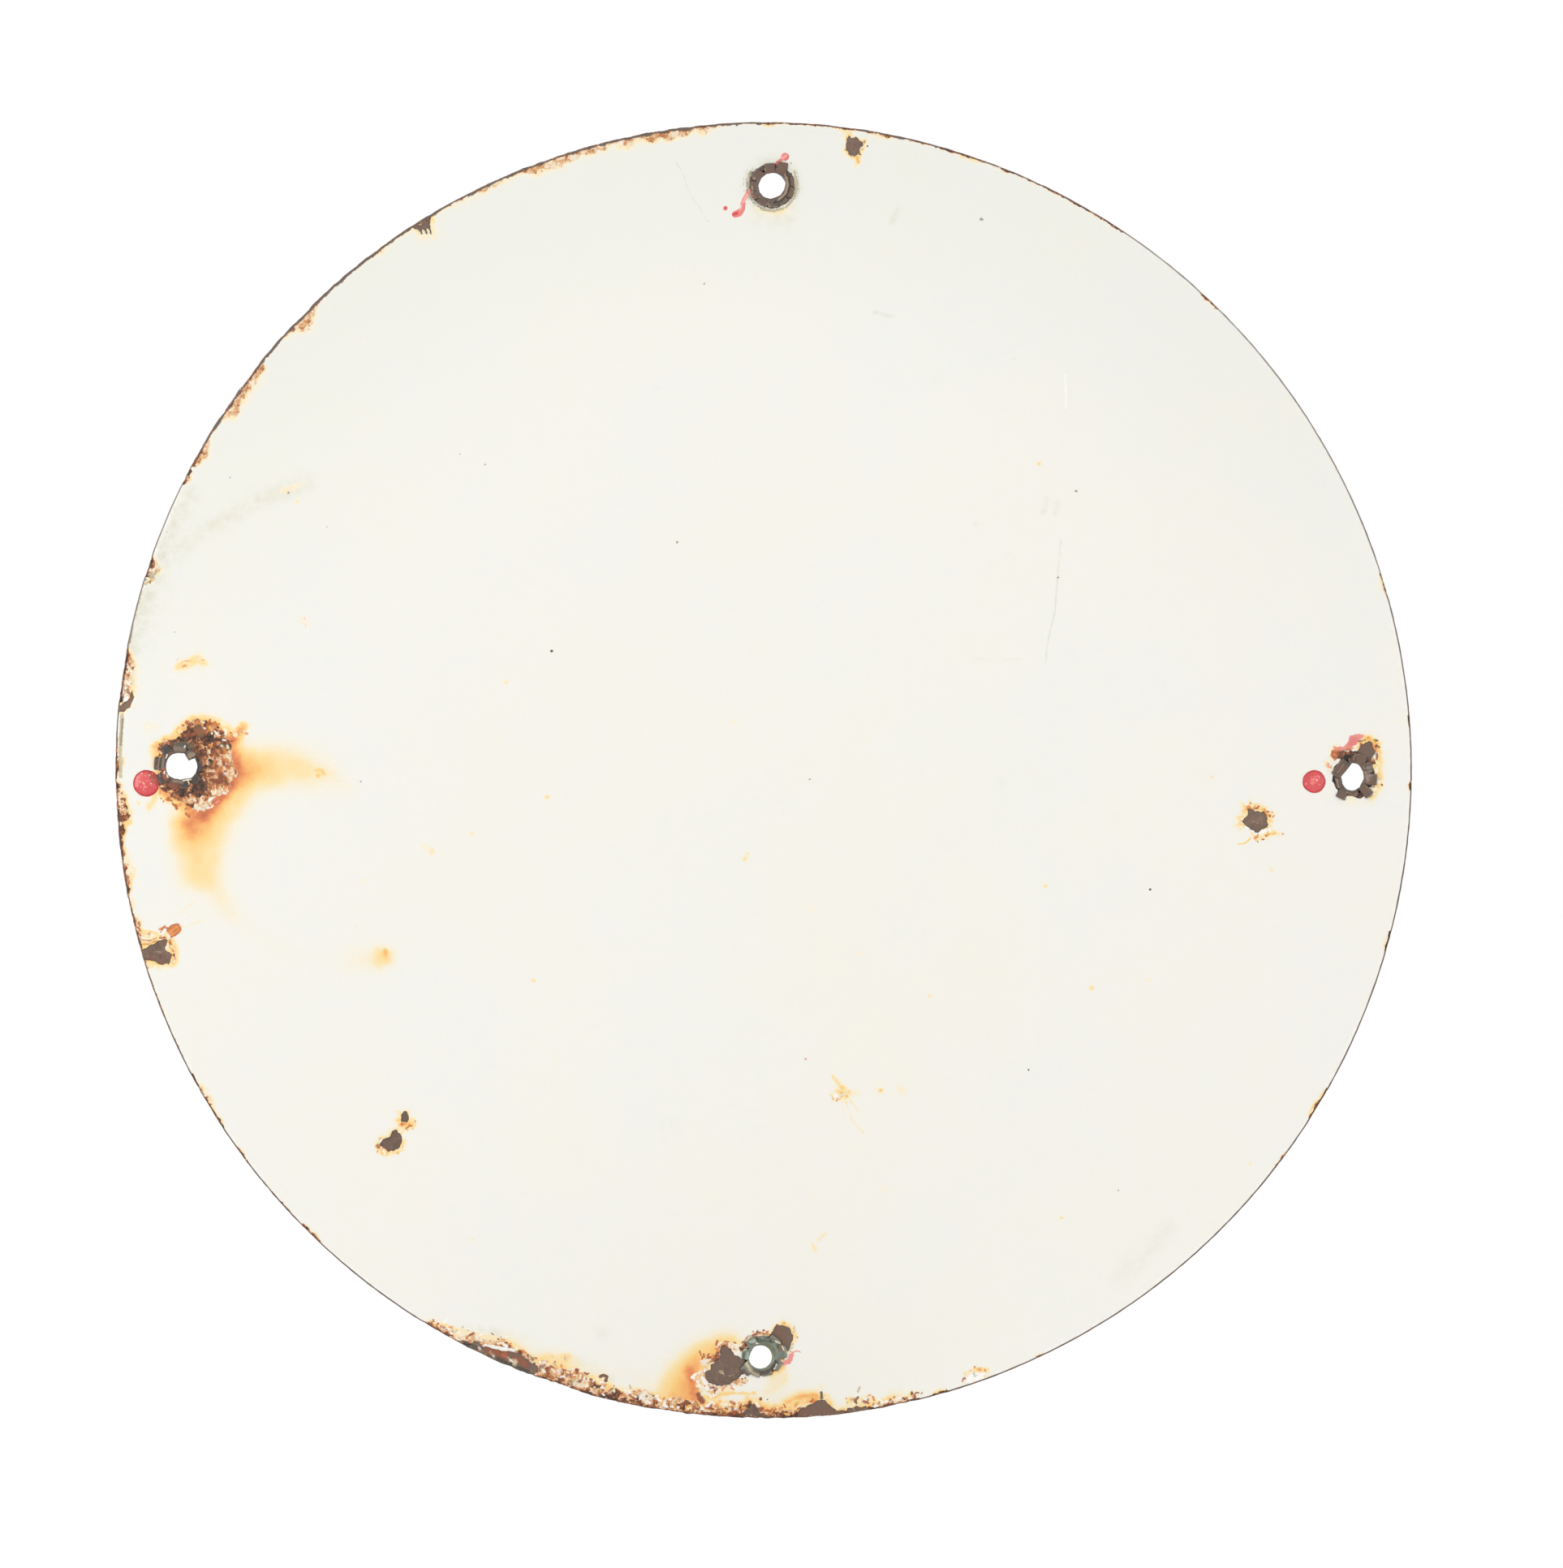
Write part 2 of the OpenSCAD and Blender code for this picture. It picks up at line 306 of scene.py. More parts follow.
LEFT_STAINS = (
    wash(4.6, 0.21, (-139.6, -11), (-139, -24), (-137.4, -29), (-132.5, -31), (-127, -37), (-121.5, -40),
         (-123, -33), (-125, -24), (-121, -14), (-117.5, -8.5), (-111, -7.4), (-103, -7.4), (-97, -5),
         (-97.6, 2), (-106, 5.6), (-117, 7.4), (-124, 8))
    + wash(3.0, 0.08, (-140, -22), (-138.6, -28.4), (-132, -30.4), (-127.6, -35), (-127.6, -28),
           (-129, -20))
    + wash(3.4, 0.14, (-140.4, -12.5), (-140.1, -22.6), (-137.4, -27), (-132, -27.6), (-128.4, -31.6),
           (-127.2, -26), (-128, -19), (-125.4, -12), (-121, -6.4), (-112, -5), (-107, -4.6),
           (-105.4, -0.6), (-109, 4), (-116, 5.4), (-124, 6))
    + wash(2.4, 0.3, (-140.0, -12.7), (-139.6, -19.4), (-134, -21), (-129.4, -16), (-126, -9.6),
           (-121.4, -4.6), (-117, -2.4), (-116.6, 1.4), (-123, 3.4), (-127, -4))
    + wash(1.8, 0.32, (-138.6, -13), (-137.6, -16.6), (-132.8, -15.6), (-128.6, -10), (-124.6, -5),
           (-121, -2), (-121.4, 1.4), (-125, 2), (-128, -7))
    + lines("stain", (1.3, 0.45, (-124.4, 3), (-124, -1.4), (-126, -5.4), (-129, -8.2), (-132, -12)),
            (1.9, 0.4, (-133.4, -12), (-135.4, -13.2), (-134.6, -15)),
            (4.0, 0.06, (-126, -34), (-119, -40), (-109, -44), (-97, -46)), (0.5, 0.5, (-105.3, -1.8)),
            (0.3, 0.3, (-106, -0.6), (-104.6, -0.4), (-103.8, -1.6)),
            (1.3, 0.3, (-145, -9.6), (-143.8, -7.4)), (0.7, 0.3, (-147.3, -8.6)),
            (1.6, 0.12, (-146, 9), (-143.6, 9.6)), soft=1.0)
    + wash(2.6, 0.6, *LEFT_CRUST)
    + halo(LEFT_CRUST, 1.8, 0.5)
    + wash(3.2, 0.13, (-96, -41), (-90, -39), (-84.5, -41), (-84, -48), (-91, -50), (-97.5, -47))
    + lines("stain", (2.6, 0.3, (-89.4, -44.4)), (1.0, 0.45, (-89.2, -43.4)), (0.5, 0.4, (-89.3, -42.8)),
            soft=1.0)
    + wash(2.0, 0.18, (-141.6, 21), (-139, 24.6), (-134.6, 26.8), (-133.6, 30), (-132.6, 26.4),
           (-130.6, 23.6), (-135, 22.4))
    + crumbs(11, 16, 1.3, ("orange", "amber", "white", "orange"), (-138.4, 23.6), (-135.4, 24.8),
             (-133.4, 25.4), (-132.2, 24.2), size=(0.24, 0.44), strength=0.45, bed=0.25)
    + wash(2.0, 0.12, (-111.6, 36), (-107.6, 35.8), (-107.4, 33), (-110.4, 33))
    + crumbs(12, 6, 1.1, ("orange", "white", "pink"), (-109.6, 35), (-108.6, 34), size=(0.2, 0.34),
             strength=0.4, bed=0.08)
    + wash(1.4, 0.14, (-147.4, 18.6), (-145, 19.6), (-144.4, 17.8), (-147, 16.6))
    + wash(2.2, 0.1, (-146, 6), (-143.4, 9.4), (-144.4, 12.4), (-147, 11))
)
LEFT_RUST = (
    patch("crust", 0.5, 1.0, *LEFT_CRUST)
    + lines("char", (2.6, 0.8, (-141.5, 4.6), (-137.6, 5.8), (-134.6, 4.4)),
            (1.6, 0.7, (-133, 2.4), (-132.4, -0.8), (-131.6, -2.4)),
            (1.9, 1, (-133.2, -4.4), (-131.8, -4.6)), (1.6, 0.8, (-142.4, -4.2), (-139, -6), (-136, -5.8)),
            (1.0, 1, (-133.6, 8.4), (-132.6, 7)), (0.9, 0.8, (-131.3, 6.8), (-130.4, 5.2)),
            (1.0, 1, (-127.8, 4.8), (-127, 4.2)), (1.4, 0.35, (-135.6, 8.2), (-133.6, 6)), soft=0.7)
    + lines("flake", (0.9, 0.7, (-132.9, 10.2), (-131.2, 8.6)),
            (0.9, 0.5, (-126.6, 2.4), (-126, -1.4), (-127, -3)),
            (1.0, 0.8, (-133.4, -10), (-130.2, -8.2), (-127, -5)),
            (0.8, 0.8, (-141.8, -5.4), (-138.4, -7.4), (-135, -8)),
            (1.8, 0.2, (-128.8, 2.4), (-128.2, -3), (-130.6, -6.4)), soft=0.8)
    + lines("olive", (0.9, 0.6, (-133.7, 9), (-133, 7.8)), (0.8, 0.6, (-128, 5), (-127.3, 4.4)),
            (1.0, 0.5, (-137, 5.4), (-135.4, 4.6)), soft=0.8)
    + lines("rust", (1.5, 0.4, (-129, 2), (-129, -2.6)), (1.0, 0.36, (-136.4, 7.4), (-130, 9.2)), soft=0.9)
    + crumbs(21, 26, 1.0, ("cream", "white", "orange", "cream"), (-132.6, 9.6), (-127.6, 6.4), (-126, 1),
             (-126.4, -3.6), (-131.4, -8.4), (-135, -8.6), size=(0.24, 0.44), strength=0.8)
    + crumbs(22, 14, 2.2, ("dark", "black", "brown"), (-134, 6.4), (-131, 0), (-133, -5), (-139, -6.2),
             size=(0.4, 0.8), strength=0.6)
    + crumbs(23, 9, 0.8, ("white", "cream", "pink"), (-133.6, -10.4), (-131.4, -9.4), (-129, -7.6),
             size=(0.22, 0.4), strength=0.9)
    + crumbs(24, 34, 1.3, ("orange", "rust", "amber", "red_brown", "cream"), (-144, 4.6), (-138.4, 8.4),
             (-134.4, 11.2), (-128.4, 10), (-124.6, 6.4), size=(0.26, 0.56), strength=0.7)
    + crumbs(25, 22, 1.0, ("orange", "rust", "amber", "orange"), (-143.4, -5.4), (-139.6, -8.2),
             (-134.8, -11.4), size=(0.26, 0.56), strength=0.7)
    + crumbs(27, 30, 1.8, ("rust", "red_brown", "brown", "orange"), (-129.4, 5), (-127.4, 0.6),
             (-128.6, -5.4), size=(0.3, 0.6), strength=0.6, bed=0)
    + lines("stain", (1.3, 0.5, (-125.6, 6.4), (-123.4, 8.4), (-122.8, 9.6)), soft=1.0)
    + crumbs(26, 12, 0.8, ("orange", "amber", "cream"), (-125.4, 6.4), (-123, 9.4), size=(0.26, 0.5),
             strength=0.7)
)
LEFT_EDGE_RUST = (
    halo(CHIPS["left_edge"], 1.9, 0.42)
    + lines("stain", (0.4, 0.3, (-147.6, -38.4), (-143, -39.2)), (0.6, 0.4, (-146.8, -41.8), (-143.2, -41)),
            (1.1, 0.26, (-139.3, -41), (-138.6, -43.4), (-138.8, -46)),
            (0.2, 0.16, (-139, -35.6), (-134.6, -32)), (0.2, 0.16, (-137.4, -38), (-132.8, -36.2)),
            (3.0, 0.07, (-136, -36), (-133, -37)), soft=0.9)
    + lines("rust", (0.26, 0.6, (-148, -37.3), (-146.8, -38.6)),
            (0.16, 0.6, (-147.2, -40.6), (-144.6, -41), (-143, -40.3)),
            (0.16, 0.5, (-146.9, -41.9), (-144.6, -41.7), (-142.8, -41)),
            (0.14, 0.4, (-146.8, -39.2), (-144, -39.6)), soft=0.7)
    + lines("cream", (0.16, 0.5, (-147, -41.3), (-144, -41.2)), (0.16, 0.4, (-147.2, -40), (-144.6, -40.2)),
            soft=0.7)
    + lines("orange", (1.1, 0.8, (-139.5, -38.7), (-138.3, -38.1)),
            (0.3, 0.5, (-142.4, -38.3), (-141, -37.5)), soft=0.6)
    + lines("rust", (0.2, 0.8, (-140.4, -38.6), (-139.4, -37.3), (-138, -37), (-137.4, -38.2),
                     (-138.4, -39.5), (-139.6, -40.1)),
            (0.2, 0.6, (-142, -38.9), (-141.4, -37.8), (-140.4, -38)),
            (0.2, 0.7, (-139, -38.9), (-138.3, -38.2)), (0.26, 0.7, (-142.2, -40.3), (-140.9, -40.2)),
            (0.18, 0.6, (-139.9, -41), (-139.9, -42.4), (-139, -43.4)), soft=0.6)
    + lines("red_brown", (0.14, 0.5, (-139.8, -38.2), (-138.9, -37.7)),
            (0.2, 0.6, (-138.8, -44), (-138.8, -45.4)), soft=0.6)
    + lines("white", (0.2, 0.8, (-142, -39.5), (-141, -38.9)), (0.2, 0.8, (-140.4, -39.4), (-139.5, -40.8)),
            (0.12, 0.4, (-138.2, -36.8), (-134.2, -33.4)), (0.12, 0.4, (-137.6, -37.4), (-133.2, -34.6)),
            soft=0.6)
    + crumbs(31, 20, 0.8, ("orange", "cream", "rust", "red_brown", "white"), (-146.8, -39.6),
             (-143.4, -40.4), (-141, -39.2), (-139, -42), (-138.8, -46), size=(0.2, 0.36), strength=0.6)
    + crumbs(32, 8, 0.7, ("orange", "cream", "rust"), (-144.6, -47), (-146.6, -46.8), size=(0.2, 0.36),
             strength=0.5)
)
TOP_RUST_AND_EYELET_SHADOW = (
    halo(CHIPS["top"], 1.5, 0.36)
    + crumbs(41, 12, 0.7, ("orange", "amber", "brown", "cream"), (17.2, 146), (18.6, 144.6), (20.6, 145),
             (21.6, 147), (21.6, 148.4), size=(0.2, 0.36), strength=0.7)
    + lines("stain", (0.8, 0.25, (20.4, 144.6), (19.7, 142.7)), (0.4, 0.5, (19.9, 144.4), (20.2, 143.3)),
            soft=1.0)
    + wash(2.6, 0.2, (-4.6, 132.4), (4.4, 133), (5.4, 131), (0.4, 129.4), (-4.4, 130.8))
    + wash(3.4, 0.06, (-5.4, 131.6), (5, 132), (5, 129), (0, 126.6), (-4, 128))
    + lines("stain", (0.5, 0.12, (-3.6, 132.6), (-1, 131.3), (2.2, 131.5), (4.4, 133)), soft=0.9)
    # Painted shadow: the soft grey-olive ring of olive and grime arcs and lines round the top eyelet
    + lines("olive", (1.0, 0.26, *arc(HOLES["top"], 5.3, 150, 340)),
            (0.8, 0.2, *arc(HOLES["top"], 5.6, -20, 30)), soft=1.0)
    + lines("grime", (1.6, 1.0, *arc(HOLES["top"], 5.7, 130, 400)), (1.4, 0.5, (-3, 143.2), (2, 144)),
            (2.6, 0.5, (-2, 130.4), (4, 130.2)), soft=1.0)
    + lines("olive", (0.5, 0.3, (-4.6, 141.6), (-6, 139), (-5.8, 136.2), (-4.4, 133.4), (-1.4, 131.9)),
            (0.14, 0.4, (-5.4, 142), (-6.7, 139.2), (-6.6, 136.4)),
            (0.4, 0.25, (-1.8, 143.7), (2, 144), (4.4, 142.9)),
            (0.35, 0.3, (5.6, 141.4), (6.5, 138.4), (6, 135)), soft=1.0)
    + lines("tan", (0.22, 0.7, (5.2, 141), (5.9, 138), (5.2, 134.6), (3.2, 132.4)),
            (0.2, 0.5, (-5.2, 140.6), (-5.6, 137.2), (-4.6, 134.4)), soft=0.8)
    + lines("dark", (0.85, 0.95, *arc(HOLES["top"], 4.4)), (0.5, 0.7, (-4.2, 140.4), (-4.7, 138.8)),
            soft=0.4)
    + lines("tan", (0.25, 0.8, (-2.4, 132.1), (0.4, 131.6), (2.6, 132.2)),
            (0.2, 0.6, (5.3, 140), (5.7, 137)), soft=0.6)
    + lines("pink", (0.45, 0.6, (-5.5, 136.3), (-6.3, 134.6), (-7.2, 133.1)),
            (0.28, 0.6, (-6.3, 133.4), (-6.9, 132.2)), (0.25, 0.7, (2.2, 143.8), (1.1, 143.1)),
            (0.3, 0.4, (4.4, 142.8)), soft=0.7)
)
RIGHT_RUST = (
    halo(CHIPS["right"], 3.4, 0.4)
    + lines("white", (0.34, 0.9, (112.8, -11.9), (115.1, -13.5), (118.2, -12.6)), soft=0.5)
    + crumbs(51, 22, 0.8, ("orange", "rust", "amber", "cream", "orange"), (112, -8.4), (113.6, -7),
             (116, -7.2), (118, -8.8), (118.4, -10.4), size=(0.22, 0.46), strength=0.75)
    + crumbs(52, 14, 0.8, ("rust", "orange", "amber"), (114.4, -14.2), (116, -14.6), (119, -13.4),
             (120.4, -13.6), size=(0.22, 0.42), strength=0.7)
    + crumbs(53, 8, 0.7, ("orange", "white", "cream"), (111.4, -9.6), (111.6, -11.4), size=(0.2, 0.34),
             strength=0.6)
    + lines("stain", (0.22, 0.45, (113.6, -14.8), (112.4, -15.8), (111, -16.1)), soft=0.8)
    + wash(1.6, 0.2, (143.2, 9), (145.6, 5), (145.4, -3), (142.4, -6.8), (137, -7.4), (133.4, -6.6),
           (136, -5), (141, -4.6), (142.6, 0), (142.4, 6))
    + wash(1.0, 0.24, (143, 8.4), (144.6, 4), (144.2, -2.4), (142, -5.6), (141.6, -3.4), (142.8, 0),
           (142, 6))
    + wash(1.0, 0.2, (131.6, 7), (134.4, 8.4), (135, 6), (133, 2), (131.6, 2.6))
    + halo([(138.8, 4.4), (139.4, 8), (141, 9), (143, 7.6), (142.6, 4), (141, 4)], 2.0, 0.5)
    + patch("rust", 0.4, 0.75, (132.4, 6.4), (134.4, 6.8), (134.8, 4.8), (133.4, 3.4), (132.6, 4.6))
    + patch("pink", 0.3, 0.95, (133.8, 6.8), (135.4, 7.6), (136.4, 9), (137.8, 9.6), (139.8, 9.5),
            (139, 8.2), (138.4, 7), (136.4, 6.3), (134.4, 6))
    + patch("red", 0.6, 0.4, (136.2, 7.4), (137.4, 9), (138.6, 9), (138, 7.6), (137, 6.8))
    + crumbs(57, 22, 0.8, ("amber", "brown", "amber", "orange"), (139.6, 6.6), (139.4, 8.2), (140.4, 9),
             (142, 8.8), (143, 7.4), (143, 5.6), size=(0.24, 0.5), strength=0.8)
    + patches([("crust", 0.4, 0.7), ("brown", 0.5, 0.5)],
              (134, 6.4), (136.4, 6.2), (138.6, 5.8), (139, 4.4), (136.4, 4.6), (134.2, 4.6))
    + patches([("crust", 0.4, 0.8), ("flake", 0.6, 0.9)],
              (141.6, 6), (142.8, 6.4), (143.4, 4.6), (143, 3.2), (141.8, 3.2))
    + crumbs(54, 26, 1.0, FLAKY, (143, 7.6), (143, 5), (142.6, 2.6), (143.8, 0.4), (142.8, -2.8),
             (141.8, -4.4), size=(0.24, 0.5), strength=0.8)
    + crumbs(55, 14, 0.9, ("pink", "pink", "orange", "rust"), (133.4, 6), (135.4, 6.2), (137, 6.6),
             size=(0.2, 0.36), strength=0.7)
    + crumbs(56, 8, 0.8, ("pink", "orange", "tan"), (131.2, 3.4), (132, 1.2), size=(0.2, 0.36),
             strength=0.5)
    + lines("cream", (0.9, 0.8, (137.2, -5.2)), (0.4, 0.8, (141.4, -3), (142.9, -2.9)), soft=0.7)
    + lines("crust", (0.9, 1, (139.6, 4.2), (141.2, 3), (141.9, 0.6), (141.2, -2.6), (139, -4.2)),
            (0.9, 1, (137.6, -3.6), (135.2, -3.4), (133.8, -1), (133.9, 1.6), (135.8, 4), (138.6, 4.8)),
            soft=0.35)
    + lines("char", (1.6, 1.4, (141.6, 3.6), (142, 0), (140.4, -3.6)),
            (1.6, 1.4, (137.6, -3.8), (134.4, -3.6), (133.4, 0), (134, 3.4), (137, 4.8)), soft=0.6)
)
BOTTOM_RUST = (
    wash(3.6, 0.22, (-27, -143), (-24, -138.5), (-17, -133.5), (-10, -130.8), (-4, -131.4), (-6, -135),
         (-12, -137), (-13, -146), (-10, -149.5), (-18, -151), (-25, -149.5))
    + wash(2.6, 0.34, (-23.4, -144.5), (-21, -139.5), (-16, -134.8), (-10, -132.4), (-6.5, -133),
           (-9, -136), (-13.5, -138), (-14, -148), (-20, -149.5))
    + wash(2.0, 0.36, (-20, -145), (-18.4, -140.5), (-14.6, -136.6), (-10.6, -134.4), (-9.6, -136),
           (-13.4, -139.4), (-14.6, -143), (-13.8, -148.4), (-17.4, -149.4))
    + lines("stain", (1.3, 0.5, (-16.8, -140.6), (-15.4, -146.6)),
            (0.5, 0.4, (-12.2, -146.8), (-7, -146), (-1.6, -146)),
            (0.9, 0.45, (2.2, -141.1), (4.8, -139.9)), (0.5, 0.4, (6, -148), (9, -146.6), (13, -146.2)),
            (0.4, 0.5, (-12.6, -149), (-9.6, -148.7)), (0.7, 0.25, (14.1, -144.2)), soft=1.0)
    + wash(1.4, 0.22, (1.4, -140.8), (5.4, -139.2), (8, -140.4), (7.4, -144), (4, -147), (0.6, -147.6),
           (-1, -146), (0.4, -143))
    + wash(1.1, 0.34, (3.4, -149.4), (5, -146.4), (9, -144.6), (13, -144.4), (16, -146), (16.4, -148.4),
           (10, -148.6))
    + wash(1.2, 0.3, (-19, -151), (-13, -148), (-4, -147.8), (3, -149), (3, -151.6), (-10, -152))
    + halo(CHIPS["above_bottom_eyelet"], 1.7, 0.42)
    + halo(CHIPS["bottom_triangle"], 1.6, 0.5)
    + lines("crust", (0.9, 0.8, (-13.6, -138.9), (-10.8, -137.8), (-9.6, -135)),
            (0.9, 0.7, (-8.6, -134.4), (-6, -135.4)), (0.8, 0.8, (-7, -143.6), (-4, -143)),
            (1.4, 0.8, (-13.4, -141.6), (-14, -144.4), (-11.4, -145.4)),
            (0.6, 0.65, (-4.8, -136), (-3.6, -134.2), (-1, -133), (2, -133.2), (4.2, -134.8)),
            (0.6, 0.8, (4.8, -138), (3.4, -140), (1, -141.4), (-2, -141.2), (-4.4, -139.6)), soft=0.5)
    + lines("flake", (1.2, 1, (-13.9, -140), (-14.4, -143.4), (-12.6, -145.4)), soft=0.6)
    + lines("char", (0.8, 0.8, (-14.8, -146.7), (-13.8, -148.3)),
            (0.8, 0.8, (-4.4, -135.4), (-1, -133), (3.6, -134.4)),
            (0.7, 1, (2.4, -141.2), (-1, -141.8), (-4.4, -140.4)), soft=0.7)
    + lines("red_brown", (0.7, 0.7, (-14.8, -146.4), (-13.9, -148)), (0.4, 0.9, (-0.2, -147.3)), soft=0.7)
    + lines("red_brown", (0.3, 0.5, (-4.6, -134.2), (-3.3, -132.7), (-0.5, -131.9), (1.8, -132.2)),
            soft=0.7)
    + lines("pink", (0.6, 0.7, (5.2, -139), (6.4, -138.4), (7, -137)),
            (0.3, 0.8, (6.4, -138.2), (7, -136.9)), (0.2, 0.6, (7.2, -136.3), (8.4, -135.9), (9.1, -136.3)),
            (0.25, 0.9, (9.7, -67.4)), soft=0.6)
    + crumbs(61, 24, 1.2, ("white", "cream", "white", "amber"), (-13.4, -139.8), (-14.8, -142.6),
             (-13.4, -145.2), (-11, -146.2), size=(0.3, 0.6), strength=0.9)
    + crumbs(62, 14, 1.2, RUSTY, (-15.6, -139.4), (-12.6, -137.4), (-9.6, -134.4), (-6.6, -134),
             size=(0.26, 0.5))
    + crumbs(63, 22, 1.2, FLAKY, (-12, -145.4), (-8, -144.8), (-4.4, -143.2), size=(0.26, 0.5))
    + crumbs(64, 14, 1.0, RUSTY, (-4.6, -134.4), (-1, -132), (2.4, -131.8), size=(0.2, 0.4), strength=0.7)
    + crumbs(65, 12, 0.9, ("orange", "amber", "rust", "tan"), (5, -129.6), (7.6, -131), (7.8, -133.2),
             size=(0.2, 0.4), strength=0.6)
    + crumbs(66, 8, 0.6, ("white", "tan", "slate"), (6.8, -134.2), (6.8, -135.8), size=(0.22, 0.4))
    + crumbs(67, 60, 1.5, ("cream", "amber", "rust", "white", "orange", "red_brown"), (-26, -147.6),
             (-19, -149.4), (-10, -149.8), (0, -150), size=(0.3, 0.6), strength=0.8)
    + lines("char", (1.0, 0.9, (-31, -147.6), (-24, -149.4), (-16, -150.6)),
            (0.7, 0.9, (-12, -151), (-6, -151.4)), (0.9, 0.9, (-3, -149.4), (-1.4, -149.4)),
            (0.6, 0.8, (1, -151.4), (8, -151)), soft=0.9)
    + crumbs(68, 16, 1.2, ("brown", "red_brown", "rust"), (-3, -149), (-1, -150), (1, -150),
             size=(0.3, 0.6))
    + crumbs(69, 26, 1.2, ("orange", "cream", "amber", "rust"), (2, -150), (7, -149.4), (9.6, -147.8),
             (16, -147.4), size=(0.24, 0.5), strength=0.7)
    + crumbs(70, 30, 1.4, FLAKY, (20, -148.4), (22, -147), (25, -147), (28, -148.4), size=(0.3, 0.55))
    + crumbs(71, 6, 1.0, ("brown", "red_brown"), (20.8, -147.4), (26.4, -148.4), size=(0.3, 0.5))
    + crumbs(72, 14, 0.8, ("brown", "white", "rust"), (28.6, -147.6), (32, -147.2), (38, -145.4),
             size=(0.24, 0.45), strength=0.8)
    + lines("olive", (0.3, 0.9, (14.1, -145.7), (14.2, -147.2)), soft=0.6)
)
